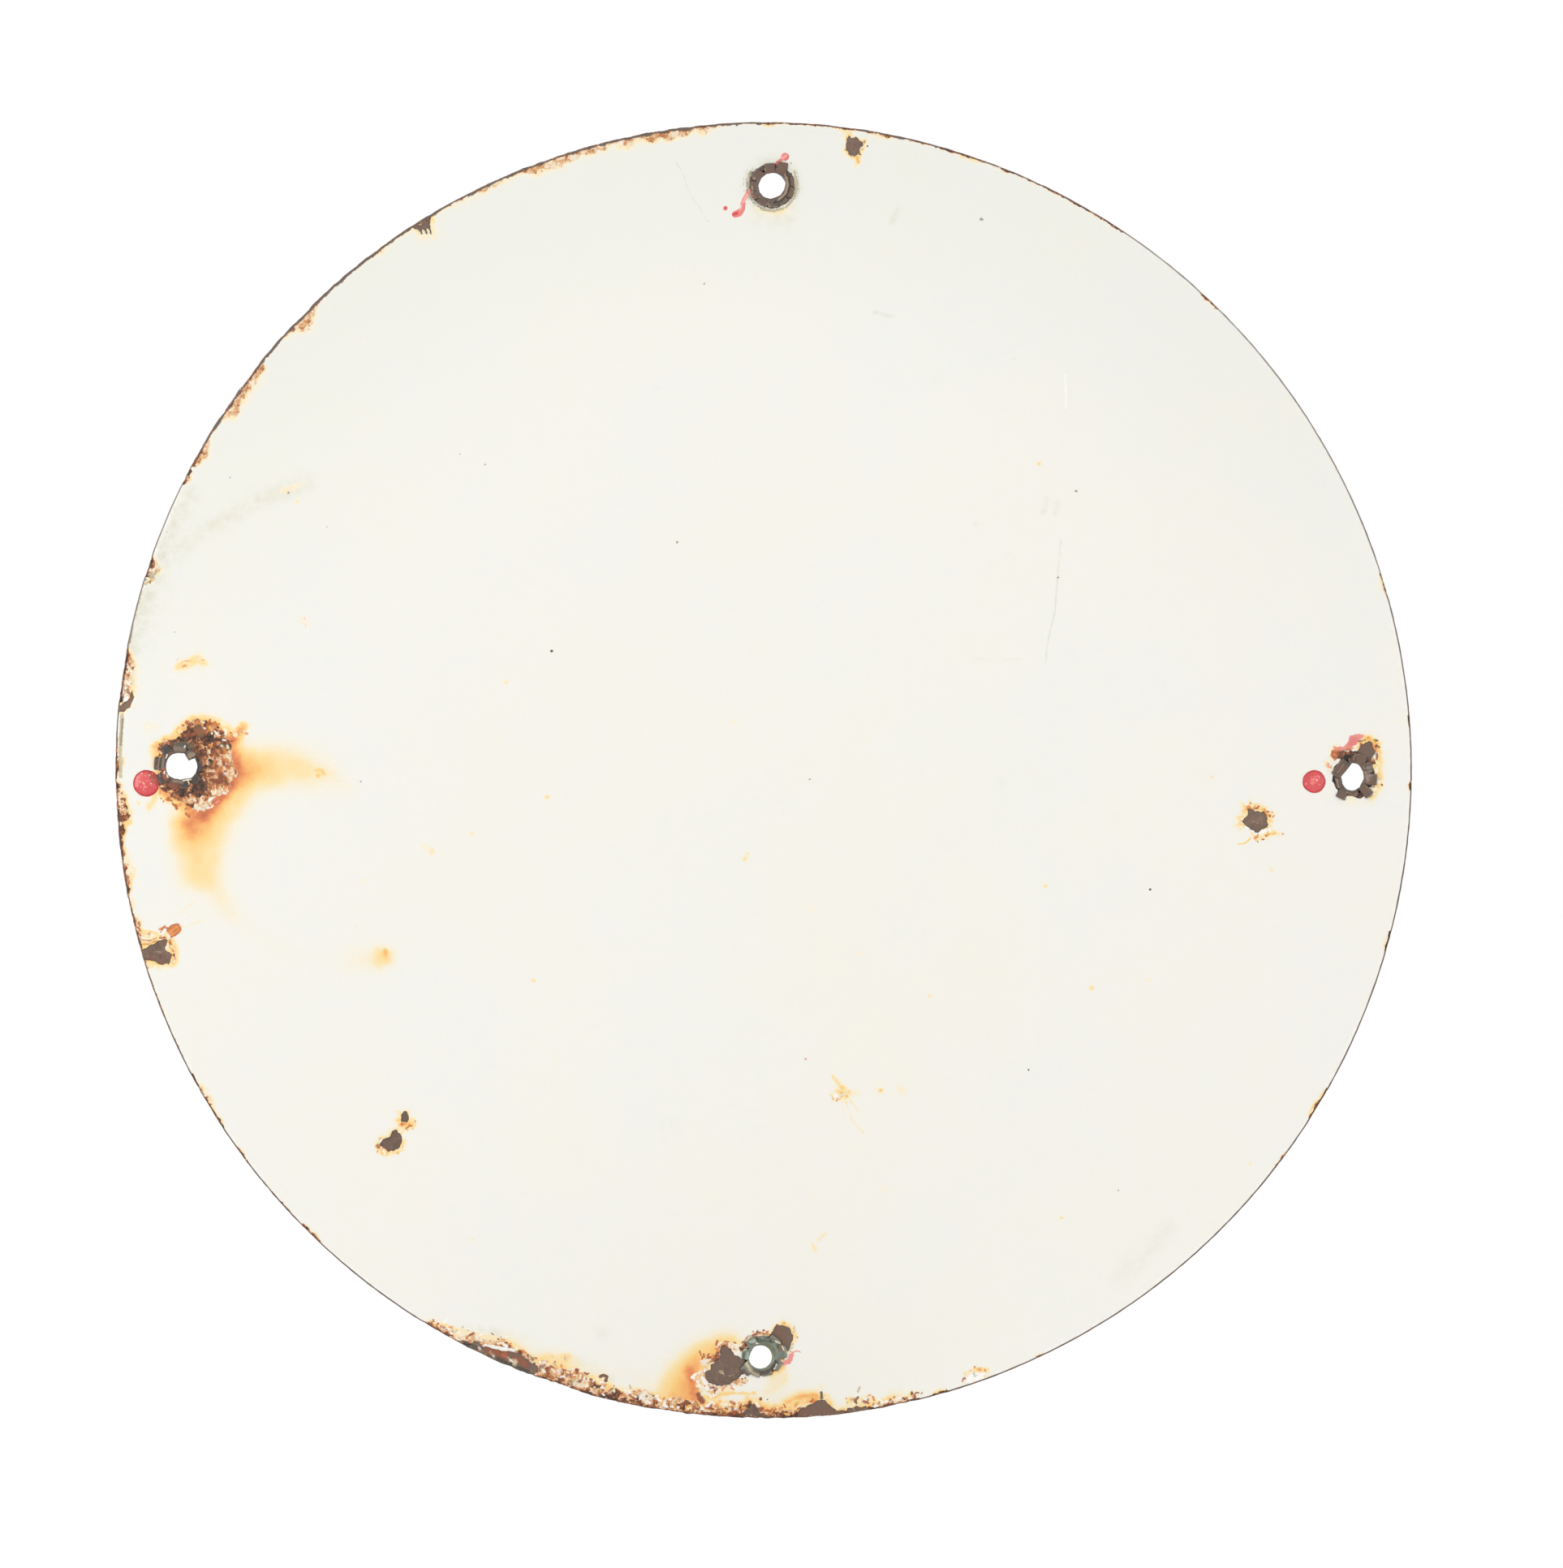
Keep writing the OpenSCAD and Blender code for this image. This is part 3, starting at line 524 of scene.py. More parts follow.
LOW_LEFT_RUST = (
    patch("crust", 0.6, 0.85, (-71.8, -133.6), (-70, -132.6), (-68, -132.8), (-65.6, -133.6), (-63, -133.8),
          (-60, -134.6), (-57.6, -135.6), (-55.6, -136.6), (-53.6, -138.4), (-52, -140.4), (-53, -141.4),
          (-56.8, -138), (-60.4, -137.4), (-63.4, -137), (-66.4, -135.8), (-70, -135))
    + patch("flake", 0.8, 0.55, (-72, -133), (-68, -131.8), (-63, -133), (-57.6, -134.6), (-53, -138),
            (-52, -140.4), (-53, -142), (-58, -138), (-64, -137.4), (-68, -135.4))
    + patch("crust", 0.6, 1.0, (-53, -141.6), (-51.6, -139.8), (-49.8, -139.2), (-48.4, -140.2),
            (-46.4, -140.4), (-44.4, -140.4), (-42.4, -141.2), (-41, -142.4), (-39.4, -143.2),
            (-37.6, -144), (-36.8, -146), (-40, -147.6), (-46, -145.8), (-52, -143.6))
    + patch("crust", 0.6, 0.75, (-36.4, -145.6), (-34, -144.8), (-31, -145.6), (-28, -145.4),
            (-25.4, -146.6), (-25, -149), (-34, -147.6))
    + lines("char", (0.6, 0.9, (-60.6, -135.3), (-57, -136.4)), (0.8, 0.8, (-50.4, -141.6), (-49.2, -143)),
            (0.6, 0.7, (-47.6, -142.6), (-46.6, -143)), (0.9, 0.9, (-34, -146.2), (-31.8, -146.6)),
            (0.6, 0.9, (-25.5, -146.6), (-25, -148.6)), soft=0.8)
    + lines("flake", (1.6, 0.7, (-53.8, -140.4), (-49.4, -142.6)), (1.5, 0.5, (-45, -143.4), (-40, -145)),
            (1.0, 1, (-28, -146), (-26.4, -147.7)), soft=0.8)
    + wash(2.2, 0.1, (-74, -131), (-68, -130.6), (-60, -132.6), (-52, -136.6), (-44, -139.4), (-36, -143),
           (-26, -145.6), (-26, -148), (-40, -146), (-54, -140), (-70, -134))
    + wash(2.6, 0.12, (-64, -129.4), (-52, -133.4), (-40, -137), (-28, -140), (-27, -144), (-42, -143),
           (-58, -138))
    + wash(4.0, 0.05, (-38.6, -119), (-35.6, -119), (-34, -134), (-40, -134))
    + lines("grime", (1.6, 0.8, (-71.6, -132.4), (-64, -132.4), (-57, -134.4)),
            (1.8, 0.8, (-51, -138), (-43, -139.6), (-36, -143.4)), soft=1.0)
    + crumbs(81, 44, 1.1, FLAKY, (-76, -130.8), (-69, -132.4), (-60, -134.6), (-53, -138.6),
             size=(0.26, 0.5))
    + crumbs(82, 60, 1.8, FLAKY, (-53.6, -140.4), (-47, -141.6), (-41, -143.6), (-36.4, -145.4),
             size=(0.3, 0.6))
    + crumbs(83, 18, 1.4, DARKER, (-60, -135.6), (-50, -142), (-46, -143), (-37, -143), size=(0.3, 0.6))
    + crumbs(84, 30, 1.3, FLAKY, (-35.4, -145.4), (-31, -146), (-27.4, -146.6), (-24.6, -147.6),
             size=(0.26, 0.55))
    + crumbs(85, 12, 0.8, ("white", "cream"), (-28, -146), (-27, -147.4), (-24.6, -147.2), (-21, -149.6),
             size=(0.3, 0.5))
    + crumbs(86, 8, 0.7, ("rust", "orange"), (-77.6, -130.2), (-74.4, -131.8), size=(0.24, 0.4),
             strength=0.7)
    + lines("brown", (0.35, 0.9, (-37.9, -142.4), (-37.2, -142), (-36.3, -142.4), (-36.6, -143.4)),
            soft=0.5)
    + lines("cream", (0.3, 0.9, (-37.2, -142.8)), soft=0.5)
    + lines("white", (0.4, 0.95, (-65, -135.4), (-62, -135.8), (-58.4, -136.4)), soft=0.5)
    + wash(0.9, 0.3, (47.2, -143.4), (47.8, -140.6), (50, -139), (53, -139.4), (53.8, -141), (51, -143.4))
    + patch("white", 0.3, 0.9, (48.2, -142.6), (49, -140.8), (51.4, -140.4), (52.8, -140.8), (51.6, -142.2),
            (49, -143.4))
    + crumbs(87, 14, 0.5, RUSTY, (47.4, -142.8), (48, -140.8), (50, -139.6), (53, -140), size=(0.2, 0.34),
             strength=0.7)
    + crumbs(88, 5, 0.7, ("slate", "brown"), (49.6, -141.2), (52, -141), size=(0.16, 0.26), strength=0.7)
    + halo(CHIPS["low_left"], 1.9, 0.36)
    + halo(CHIPS["low_left_big"], 1.9, 0.34)
    + crumbs(91, 16, 0.9, ("rust", "orange", "amber", "orange"), (-86, -82.8), (-84.4, -84), (-82.6, -83.8),
             size=(0.22, 0.42), strength=0.5)
    + crumbs(92, 12, 0.8, ("rust", "orange", "white", "amber"), (-90, -86.8), (-90.6, -88.8),
             (-88.6, -90.4), size=(0.22, 0.46), strength=0.8)
    + crumbs(93, 9, 0.8, ("amber", "cream", "tan"), (-87, -90.4), (-85, -89.4), (-84.6, -87.4),
             size=(0.2, 0.34), strength=0.5)
    + wash(1.2, 0.5, (-86, -82.8), (-82, -82.4), (-81, -84), (-85, -85.4))
    + wash(1.0, 0.3, (-91.6, -88.4), (-88.6, -89.4), (-88.4, -91), (-91.2, -91.2))
    + lines("rust", (0.6, 0.8, (-90.5, -88.8)), (0.24, 0.7, (-81.9, -82.8)), soft=0.8)
)
STARBURST = (
    wash(1.2, 0.16, (15.4, -77), (16, -73.6), (18.6, -73), (21.4, -74), (21.8, -75.6), (19.6, -77.4))
    + lines("stain", (0.5, 0.3, (18.2, -73.9), (16.1, -71.4)), (0.6, 0.14, (20.4, -75.4), (22.2, -75.1)),
            (0.2, 0.26, (19.3, -77.5), (21, -82.1), (23.5, -84.6)),
            (0.2, 0.24, (20.3, -77.1), (22.7, -80.2)), (0.2, 0.18, (18.6, -77.6), (18.7, -81)),
            (0.5, 0.45, (27.5, -74.6)), (1.6, 0.1, (27, -74.6)), (1.3, 0.18, (32.3, -74.6)),
            (1.4, 0.14, (28.4, -97.8)), (0.4, 0.24, (14.5, -108.4), (13.2, -110)),
            (0.7, 0.26, (11.7, -110.8), (12.3, -112.3)), (0.6, 0.14, (12, -99.3)), soft=1.0)
    + lines("white", (0.5, 0.7, (16.8, -76)), soft=0.6)
    + crumbs(101, 16, 0.4, ("orange", "tan", "orange"), (15.7, -75.6), (16.4, -77.2), (17.8, -76.8),
             (18, -75.4), (16.8, -74.8), size=(0.14, 0.26), strength=0.5)
    + crumbs(102, 12, 1.0, ("orange", "white", "tan", "amber"), (18.6, -74.6), (19.4, -76.4),
             size=(0.14, 0.28), strength=0.5)
)
UPPER_LEFT_RUST = (
    halo([(-84, 127), (-80, 129.4), (-79.4, 126), (-82.4, 125)], 2.6, 0.24)
    + lines("cream", (0.18, 0.9, (-83, 127.2), (-82.4, 124.6)), (0.18, 0.9, (-81.8, 127), (-81, 124.9)),
            (0.16, 0.8, (-80.9, 126.4), (-79.6, 124.8)), soft=0.6)
    + lines("dark", (0.2, 0.9, (-82.5, 127), (-82.1, 125.6)), (0.18, 0.9, (-81.4, 127), (-81, 125.6)),
            (0.2, 0.8, (-80.4, 127.4), (-80, 125.6)), soft=0.5)
    + wash(2.2, 0.07, (-85, 124), (-78, 128), (-74, 124), (-80, 119))
    + lines("white", (0.5, 0.8, (-150.8, 15.4), (-150.6, 16.2)), soft=0.7)
    + halo(CHIPS["left_curl"], 1.4, 0.4)
    + lines("tan", (0.5, 0.6, (-151.6, 12), (-151.9, 4), (-151.7, -2.5)),
            (0.5, 0.5, (-150.3, 27.5), (-149.1, 34), (-147.2, 41)), soft=0.8)
    + lines("olive", (0.25, 0.5, (-150, 29), (-149.4, 33)), (0.22, 0.5, (-151.4, 11), (-151.8, 5)),
            soft=0.8)
    + crumbs(111, 22, 1.0, FLAKY, (-150.6, 26), (-151, 21), (-150.8, 16), size=(0.24, 0.5), strength=0.8)
    + crumbs(112, 20, 1.2, ("tan", "olive", "brown", "amber", "tan"), (-144.8, 46.6), (-145.4, 43.6),
             size=(0.24, 0.5), strength=0.8)
)
GRIME_AND_PAINTED_WARMTH = (
    lines("grime", (2.4, 0.5, (-138, 51.5), (-133, 55), (-127, 58), (-121, 62.4), (-115, 65), (-109, 66.6)),
          (0.9, 0.6, (28.3, 129.6), (29.6, 132.3)), (0.5, 0.7, (24.4, 108.1), (28.6, 107.1)),
          (0.9, 0.5, (65.1, 64.5), (64.4, 61.8)), (0.8, 0.5, (67.6, 63.4), (67.2, 61)),
          (0.6, 0.4, (48.5, 58.8)), (0.6, 0.5, (56, 51.4)), (0.5, 0.4, (52.3, 49.5)),
          (2.6, 0.3, (84, -118), (95, -107)), (2.2, 0.3, (-37.9, -131.8)), (2.5, 0.22, (-22, -84.3)),
          (1.5, 0.25, (39.2, 93)), (1.5, 0.2, (55.3, -2.2)),
          (2.2, 0.8, (-149.6, 27), (-146.4, 38), (-141.4, 52), (-136, 64)),
          (3.4, 0.3, (-148, 26), (-144.4, 38), (-139.4, 52)),
          (1.2, 0.6, (-130, 57), (-121, 62), (-110, 66)), soft=1.0)
    # Painted light: a faint warm, slightly darker tint over the middle of the field, laid on as a broad
    # stain to go with the painted shade at the upper rim
    + wash(40.0, 0.08, (-100, 20), (-60, 34), (60, 34), (80, 0), (66, -106), (-10, -112), (-30, -52),
           (-100, -38))
    + lines("stain", (1.0, 0.16, (-114, 65), (-109.6, 66.6)),
            (1.4, 0.09, (-136, 52.6), (-127, 58), (-121, 62.4), (-112, 65.6)), (0.7, 0.16, (-110.9, 62.4)),
            soft=1.0)
    + lines("grime", (0.18, 0.8, (68.6, 55), (67.9, 46.4), (67.3, 38), (66.2, 33.4), (65.6, 30.4),
                      (65.2, 26)),
            (0.2, 0.3, (48.4, 26.9), (54, 26.6), (59.8, 27)), soft=0.5)
    + lines("slate", (0.22, 0.3, (-22.5, 143), (-20.6, 139.6), (-19.6, 136), (-17.4, 133), (-15, 129)),
            soft=0.7)
    + lines("white", (0.35, 0.4, (69.2, 93.8), (69.5, 86)), soft=0.7)
)

# Small specks as place, radius and strength
RUST_SPECKS = [
    (-61.4, 20.4, 0.5, 0.4), (-51.6, -6.4, 0.5, 0.45), (-78.6, -19.4, 0.8, 0.42), (-80.4, -18.4, 0.9, 0.25),
    (-69.1, -15.3, 0.45, 0.35), (-94.4, -26.4, 0.6, 0.28), (-5, -20.5, 0.6, 0.62), (-4.4, -19.3, 0.3, 0.4),
    (10.8, -32.2, 0.5, 0.25), (22.3, -42.6, 0.5, 0.2), (65.6, -26.2, 0.5, 0.5), (76.7, -50.1, 0.55, 0.55),
    (90.1, -48.3, 0.45, 0.4), (38.8, -52.3, 0.5, 0.35), (-7.7, 11.7, 0.45, 0.35), (-54.3, -49.5, 0.5, 0.5),
    (-79.2, -102.6, 0.6, 0.3), (-68.1, -110.5, 0.4, 0.5), (70.1, -104.1, 0.4, 0.5), (114.3, -91, 0.5, 0.4),
    (63.2, 72.9, 0.45, 0.6), (-110.8, 62.4, 0.6, 0.3), (-95.5, 100, 0.4, 0.35), (-64.9, 43.3, 0.3, 0.3),
    (118.8, -22, 0.5, 0.4), (104.5, -0.4, 0.4, 0.5), (88, 44.4, 0.5, 0.15), (-29.4, -47.8, 0.4, 0.2),
    (98, -62, 0.3, 0.4), ]
DARK_SPECKS = [
    (-50.8, 27.9, 0.32, 1), (-21.6, 53.7, 0.35, 0.5), (-15.7, 114.4, 0.3, 0.6), (-72.7, 73.9, 0.22, 0.5),
    (-66.8, 71.5, 0.22, 0.5), (10.1, -1.7, 0.25, 0.5), (-95.3, -3.2, 0.3, 0.5), (62, -69.5, 0.25, 0.7),
    (90.2, -26.9, 0.3, 0.9), (-126.6, 68, 0.3, 0.4), (-112.9, 64.5, 0.28, 0.5),
    (-103.8, 56.6, 0.25, 0.4), (-141.4, 55, 0.25, 0.4), (-139.4, 31.5, 0.25, 0.4), (72, 66.5, 0.35, 0.5),
    (68, 46.2, 0.28, 0.5), (57.3, 97.5, 0.35, 0.3), (49.2, 130.1, 0.45, 0.5), (-26.1, 89.6, 0.25, 0.3),
    (1.4, -147.4, 0.2, 0.9), (83.4, -97.6, 0.22, 0.6), (-96, -37.2, 0.25, 0.4), (52.4, -62.2, 0.22, 0.3),
]
MARKS = (
    LEFT_STAINS + LEFT_RUST + LEFT_EDGE_RUST + TOP_RUST_AND_EYELET_SHADOW + RIGHT_RUST + BOTTOM_RUST + LOW_LEFT_RUST
    + STARBURST + UPPER_LEFT_RUST + GRIME_AND_PAINTED_WARMTH
    + [Mark("stain", r, [(x, z)], 0.6 * s, 0.9) for x, z, r, s in RUST_SPECKS]
    + [Mark("dark", r, [(x, z)], s, 0.6) for x, z, r, s in DARK_SPECKS]
)

# Stretches of flaky rust on the rim: from turn, to turn, depth, strength and how dark it is
RIM_RUST = [
    (299, 362, 0.5, 0.8, -0.5), (0, 34, 0.35, 0.7, -0.3), (359.2, 361.2, 1.2, 0.9, -0.2),
    (5, 7.6, 1.0, 0.8, -0.4), (8.6, 11.6, 1.1, 0.8, -0.5), (16, 20, 1.0, 0.8, -0.4),
    (20.8, 22.5, 0.8, 0.7, -0.3), (41.8, 44.2, 1.2, 0.7, -0.6), (71.6, 74.2, 1.2, 0.8, -0.2),
    (84.4, 85.9, 0.6, 0.7, 0), (90.4, 91.4, 0.5, 0.7, 0), (103.7, 105.9, 0.9, 0.7, 0),
    (118.8, 122.2, 1.2, 0.9, 0), (125, 128, 0.5, 0.6, 0.2), (153.7, 154.7, 0.6, 0.7, 0),
    (162.8, 164.7, 0.9, 0.7, 0), (165.4, 169.6, 2.2, 0.8, -0.2), (169.4, 173.2, 1.4, 0.8, 0),
    (172.8, 177.2, 1.0, 0.8, 0.4), (176.2, 182.6, 3.4, 0.85, -0.1), (181.4, 190.4, 3.6, 0.85, -0.3),
    (189.4, 192.6, 3.4, 1, -0.4), (192.2, 196, 2.6, 1, 0.3), (195.4, 201, 5.0, 1, -0.5),
    (200.4, 204, 2.2, 0.9, 0), (203.4, 207.6, 1.7, 0.9, 0), (207, 211.4, 1.9, 0.7, -0.6),
    (222.6, 225.2, 0.9, 0.7, -0.4), (225, 231, 0.35, 0.5, 0), (232, 234.5, 0.6, 0.6, 0),
    (235.8, 241.7, 1.3, 0.8, -0.3), (243, 252, 0.35, 0.4, 0), (252, 258.8, 1.2, 0.8, -0.5),
    (258.4, 263.8, 1.9, 0.9, -0.3), (263.2, 268.7, 2.4, 1, -0.1), (268.4, 272.6, 1.2, 0.7, -0.3),
    (275.4, 280.6, 2.5, 1, -0.4), (286.8, 288.9, 2.6, 1, -0.5), (295.6, 297.3, 1.3, 0.8, -0.6),
    (297.4, 300.8, 2.5, 1, -0.7), (302, 308.8, 3.0, 1, -0.65), (311.4, 315.8, 3.0, 1, -0.7),
    (322, 324.9, 1.5, 0.9, -0.6), (327.2, 329.1, 1.3, 0.9, 0), (330, 337.5, 1.7, 0.9, -0.65),
    (337, 346, 2.1, 1, -0.7), (345, 355.6, 2.1, 1, -0.6), ]
STEEL_MARKS = (
    lines("stain", (1.6, 0.6, (-63.6, -136.9), (-60.5, -137.3)), (1.4, 0.4, (-57, -138.6), (-55, -139.8)),
          (1.6, 0.15, (-9, -136.2), (-7, -138)), (1.4, 0.35, (4.4, -131.4), (5, -133.4)),
          (1.2, 0.2, (139.8, 7)), (2.0, 0.3, (10, -150), (18, -150.4)), soft=0.9)
    + patch("cream", 0.2, 1.0, (-59.6, -138.1), (-58.9, -138.4), (-58, -138.9), (-58.2, -139.4),
            (-59.4, -139))
    + lines("white", (0.2, 0.9, (-63.4, -137.5), (-62.9, -137.8)),
            (0.2, 0.9, (-66.6, -135.8), (-66, -136.3)), soft=0.6)
    + lines("tan", (0.25, 0.7, (-68.6, -135.6), (-67.6, -135.9)),
            (0.2, 0.4, (-143.6, -43.6), (-142, -43.4)), (0.16, 0.35, (-10, -141), (-8.6, -141.8)),
            (0.16, 0.4, (114, -10.6), (115.4, -11)), soft=0.8)
    + lines("olive", (0.6, 0.6, (-69, -136), (-60, -140), (-54, -142)), soft=0.8)
    + lines("red_brown", (0.9, 0.6, (-64, -136.6), (-60.4, -137.4)),
            (0.8, 0.5, (-57.6, -138.2), (-55.4, -139.6)), soft=0.8)
    + lines("black", (0.6, 0.6, (-69.8, -135), (-67, -136)), (0.4, 0.5, (-62, -138.4), (-55, -141.4)),
            soft=0.8)
    + crumbs(123, 24, 1.5, ("red_brown", "brown", "rust", "black", "tan"), (-67, -136), (-60, -138),
             (-55, -140.8), size=(0.24, 0.5), strength=0.5, bed=0)
    + crumbs(124, 16, 1.6, ("brown", "red_brown", "dark"), (-145, -44.4), (-141, -45), size=(0.3, 0.6),
             strength=0.4, bed=0)
    + crumbs(125, 12, 1.6, ("brown", "tan", "black"), (-10, -139), (-8, -142), size=(0.3, 0.6),
             strength=0.3, bed=0)
    + crumbs(121, 14, 1.4, ("rust", "red_brown", "brown"), (3, -131.4), (5.6, -133.6), size=(0.3, 0.5),
             strength=0.25, bed=0)
    + crumbs(122, 14, 1.4, ("red_brown", "brown", "rust"), (10, -150.2), (17, -150.4), size=(0.3, 0.6),
             strength=0.25, bed=0)
)
FRONT_CHIPS = {
    "low_edge": [(62, -150), (61, -138), (64.5, -136.2), (68, -134.2), (72.5, -133), (76, -140)],
    "high_edge": [(-101, 118), (-98.6, 112.6), (-95.2, 112.2), (-93.4, 115.4), (-92, 124)],
    "face": [(38, 58.6), (40.6, 59.4), (41.8, 57), (40.4, 55), (38.4, 55.2), (37.2, 56.8)],
    "face_small": [(-52.6, -71), (-51, -70.4), (-50.2, -72), (-51.6, -73.2)],
    "border": [(96, 104), (97.6, 105.2), (99.4, 104.4), (99.6, 102.6), (98, 101.6), (96.4, 102.4)],
}
FRONT_SPECKS = [
    (24, 96, 0.5, 0.4), (-14, 71, 0.4, 0.4), (-84, 30, 0.5, 0.35), (61, -22, 0.6, 0.45),
    (-31, -12, 0.4, 0.35), (90, -71, 0.5, 0.4), (-72, -96, 0.6, 0.4), (8, -104, 0.5, 0.35),
    (108, 52, 0.5, 0.4), (-108, -34, 0.7, 0.4), ]
FRONT_MARKS = (
    lines("stain", (3.2, 0.35, (137.6, -5), (137.8, -12), (137, -20)),
          (3.0, 0.45, (-137.6, -5), (-137, -16), (-137.8, -28)), (2.5, 0.3, (0, 131), (0.6, 122)),
          (3.0, 0.5, (0, -144), (1, -150)), soft=1.0)
    + halo(FRONT_CHIPS["face"], 2.4, 0.5)
    + halo(FRONT_CHIPS["face_small"], 1.8, 0.5)
    + halo(FRONT_CHIPS["low_edge"], 2.2, 0.6)
    + halo(FRONT_CHIPS["high_edge"], 2.2, 0.6)
    + lines("crust", (1.3, 0.9, (-143.4, 2), (-142.6, -3), (-139.6, -6.4)),
            (1.0, 0.8, (134, -5.4), (138.6, -6.4), (142.6, -4)),
            (1.2, 0.9, (-5, -142), (0, -144), (5.2, -141.4)), soft=0.35)
    + halo(FRONT_CHIPS["border"], 1.6, 0.5)
    + filled("wash", "grime", 9.0, 0.5, [(-80, 30), (-40, 56), (14, 52), (6, 40), (-36, 42), (-74, 24)])
    + filled("wash", "grime", 8.0, 0.4, [(10, -74), (40, -56), (72, -30), (66, -44), (34, -72)])
    + lines("grime", (0.25, 0.4, (-64, -12), (-40, -26), (-20, -30)), (0.25, 0.4, (84, 24), (70, -6)),
            soft=0.7)
    + wash(5.0, 0.2, (-130, -8), (-120, 6), (-118, -20), (-122, -44), (-132, -60), (-142, -50), (-142, -12))
    + [Mark("stain", r, [(x, z)], s, 0.9) for x, z, r, s in FRONT_SPECKS]
)

# Seeded noise and brushes, in plate millimetres

# Side of the table that noise is drawn from, and the seed of the first mark's noise
LATTICE = 128
MARK_SEED = 200


def smooth(share):
    """Share from 0 to 1 that starts and ends gently."""
    share = np.clip(share, 0, 1)
    return share * share * (3 - 2 * share)


def value_noise(x, z, cell, seed):
    """Smooth noise from 0 to 1 whose bumps are about one cell wide."""
    table = np.random.default_rng(seed).random((LATTICE, LATTICE))
    u, v = np.asarray(x) / cell, np.asarray(z) / cell
    i, j = np.floor(u).astype(int), np.floor(v).astype(int)
    s, t = smooth(u - i), smooth(v - j)
    low = table[i % LATTICE, j % LATTICE] * (1 - s) + table[(i + 1) % LATTICE, j % LATTICE] * s
    high = table[i % LATTICE, (j + 1) % LATTICE] * (1 - s) + table[(i + 1) % LATTICE, (j + 1) % LATTICE] * s
    return low * (1 - t) + high * t


def fractal(x, z, cell, seed, octaves=3):
    """Noise of several sizes, each half as wide and half as strong as the one before."""
    total = sum(value_noise(x, z, cell / 2 ** k, seed + k) / 2 ** k for k in range(octaves))
    return total / (2 - 2 ** (1 - octaves))


def distance_to(line, xz):
    """Distance from each place to a line of points."""
    line = np.asarray(line, float).reshape(-1, 2)
    nearest = length(xz - line[0])
    for a, b in zip(line[:-1], line[1:]):
        along = b - a
        share = np.clip((xz - a) @ along / (along @ along), 0, 1)
        nearest = np.minimum(nearest, length(xz - a - share[:, None] * along))
    return nearest


def inside_of(outline, xz):
    """True at each place inside a closed outline."""
    crossings = np.zeros(len(xz), int)
    x, z = xz.T
    for (ax, az), (bx, bz) in zip(outline[:-1], outline[1:]):
        spans = (az > z) != (bz > z)
        crossings += spans & (x < (bx - ax) * (z - az) / (bz - az if bz != az else 1) + ax)
    return crossings % 2 == 1


def near(line, reach, xz):
    """Indices of the places inside the line's box grown by reach."""
    line = np.asarray(line, float).reshape(-1, 2)
    close = (xz > line.min(0) - reach) & (xz < line.max(0) + reach)
    return np.flatnonzero(close.all(axis=1))


def brush(mark, xz, seed):
    """Indices of the places that a mark reaches, and how much of it each one takes."""
    picked = near(mark.points, mark.radius * (1 + mark.soft) + 1, xz)
    places = xz[picked]
    distance = distance_to(mark.points, places)
    if mark.kind != "line":
        distance = np.where(inside_of(mark.points, places), -distance, distance)
    share = BRUSHES[mark.kind](mark, places, distance, seed)
    return picked, mark.strength * share


def line_share(mark, places, distance, seed):
    """Full along the stroke, with a wandering edge that softness widens."""
    wobble = fractal(*places.T, max(0.6, 0.9 * mark.radius), seed) - 0.5
    loose = mark.layer == "stain" and mark.soft > 0.85
    distance = distance + wobble * mark.radius * (1.0 if loose else 0.7)
    if loose:
        distance = distance + 0.5 * (fractal(*places.T, 0.9, seed + 9) - 0.5)
    share = (mark.radius * (1 + mark.soft) - distance) / (2 * mark.radius * mark.soft)
    return smooth(share) ** (1 + 0.8 * (mark.soft > 0.95))


def patch_share(mark, places, distance, seed):
    """Full inside the outline, with a ragged edge."""
    ragged = distance + 2.2 * (fractal(*places.T, 1.6, seed) - 0.5)
    return smooth(0.5 - ragged / (2 * mark.radius))


def wash_share(mark, places, distance, seed):
    """Full well inside the outline, fading out across it in drifts."""
    drift = fractal(*places.T, 7, seed) - 0.5
    grain = fractal(*places.T, 1.1, seed + 4) - 0.5
    faded = distance + mark.radius * (1.1 * drift + 0.3 * grain)
    return np.clip(0.5 - faded / (2.4 * mark.radius), 0, 1) ** 1.5 * (1 + 0.3 * grain)


def halo_share(mark, places, distance, seed):
    """Full inside the outline, and streaky and crumbly past it."""
    away = places - np.mean(mark.points[:-1], axis=0)
    around = away / np.maximum(length(away), 0.1)[:, None] * (2.2 + 0.9 * mark.radius) + 0.12 * away
    streaks = smooth(1.9 * fractal(*around.T, 0.5, seed, 2) - 0.45)
    broken = smooth(2.6 * fractal(*places.T, 0.7, seed + 3, 2) - 0.75)
    run = mark.radius * (0.25 + streaks)
    share = np.clip(1 - np.maximum(distance, 0) / run, 0, 1)
    return share * (0.45 + 0.55 * broken)


BRUSHES = {"line": line_share, "patch": patch_share, "wash": wash_share, "halo": halo_share}


def turn_of(xz):
    """Turn of each place round the disc, in degrees clockwise from the top."""
    dx, dz = (xz - DISC).T
    return np.degrees(np.arctan2(dx, dz)) % 360


def rim_rust(turn):
    """Depth, strength and darkness of the flaky rust at each turn of the rim."""
    depth, strength, dark = (np.zeros(len(turn)) for _ in range(3))
    for start, end, reach, amount, darkness in RIM_RUST:
        local = (turn - start + 180) % 360 - 180 + start
        blend = min(1.6, 0.5 * (end - start))
        window = np.clip((local - start) / blend, 0, 1) * np.clip((end - local) / blend, 0, 1)
        window = np.sqrt(window)
        deeper = reach * window > depth
        dark = np.where(deeper, darkness, dark)
        depth = np.maximum(depth, reach * window)
        strength = np.maximum(strength, amount * smooth(2 * window))
    along = turn * PLATE_R * math.radians(1)
    ragged = 0.65 + 0.7 * fractal(along, 0 * turn, 5, 71)
    return depth * ragged, strength, dark


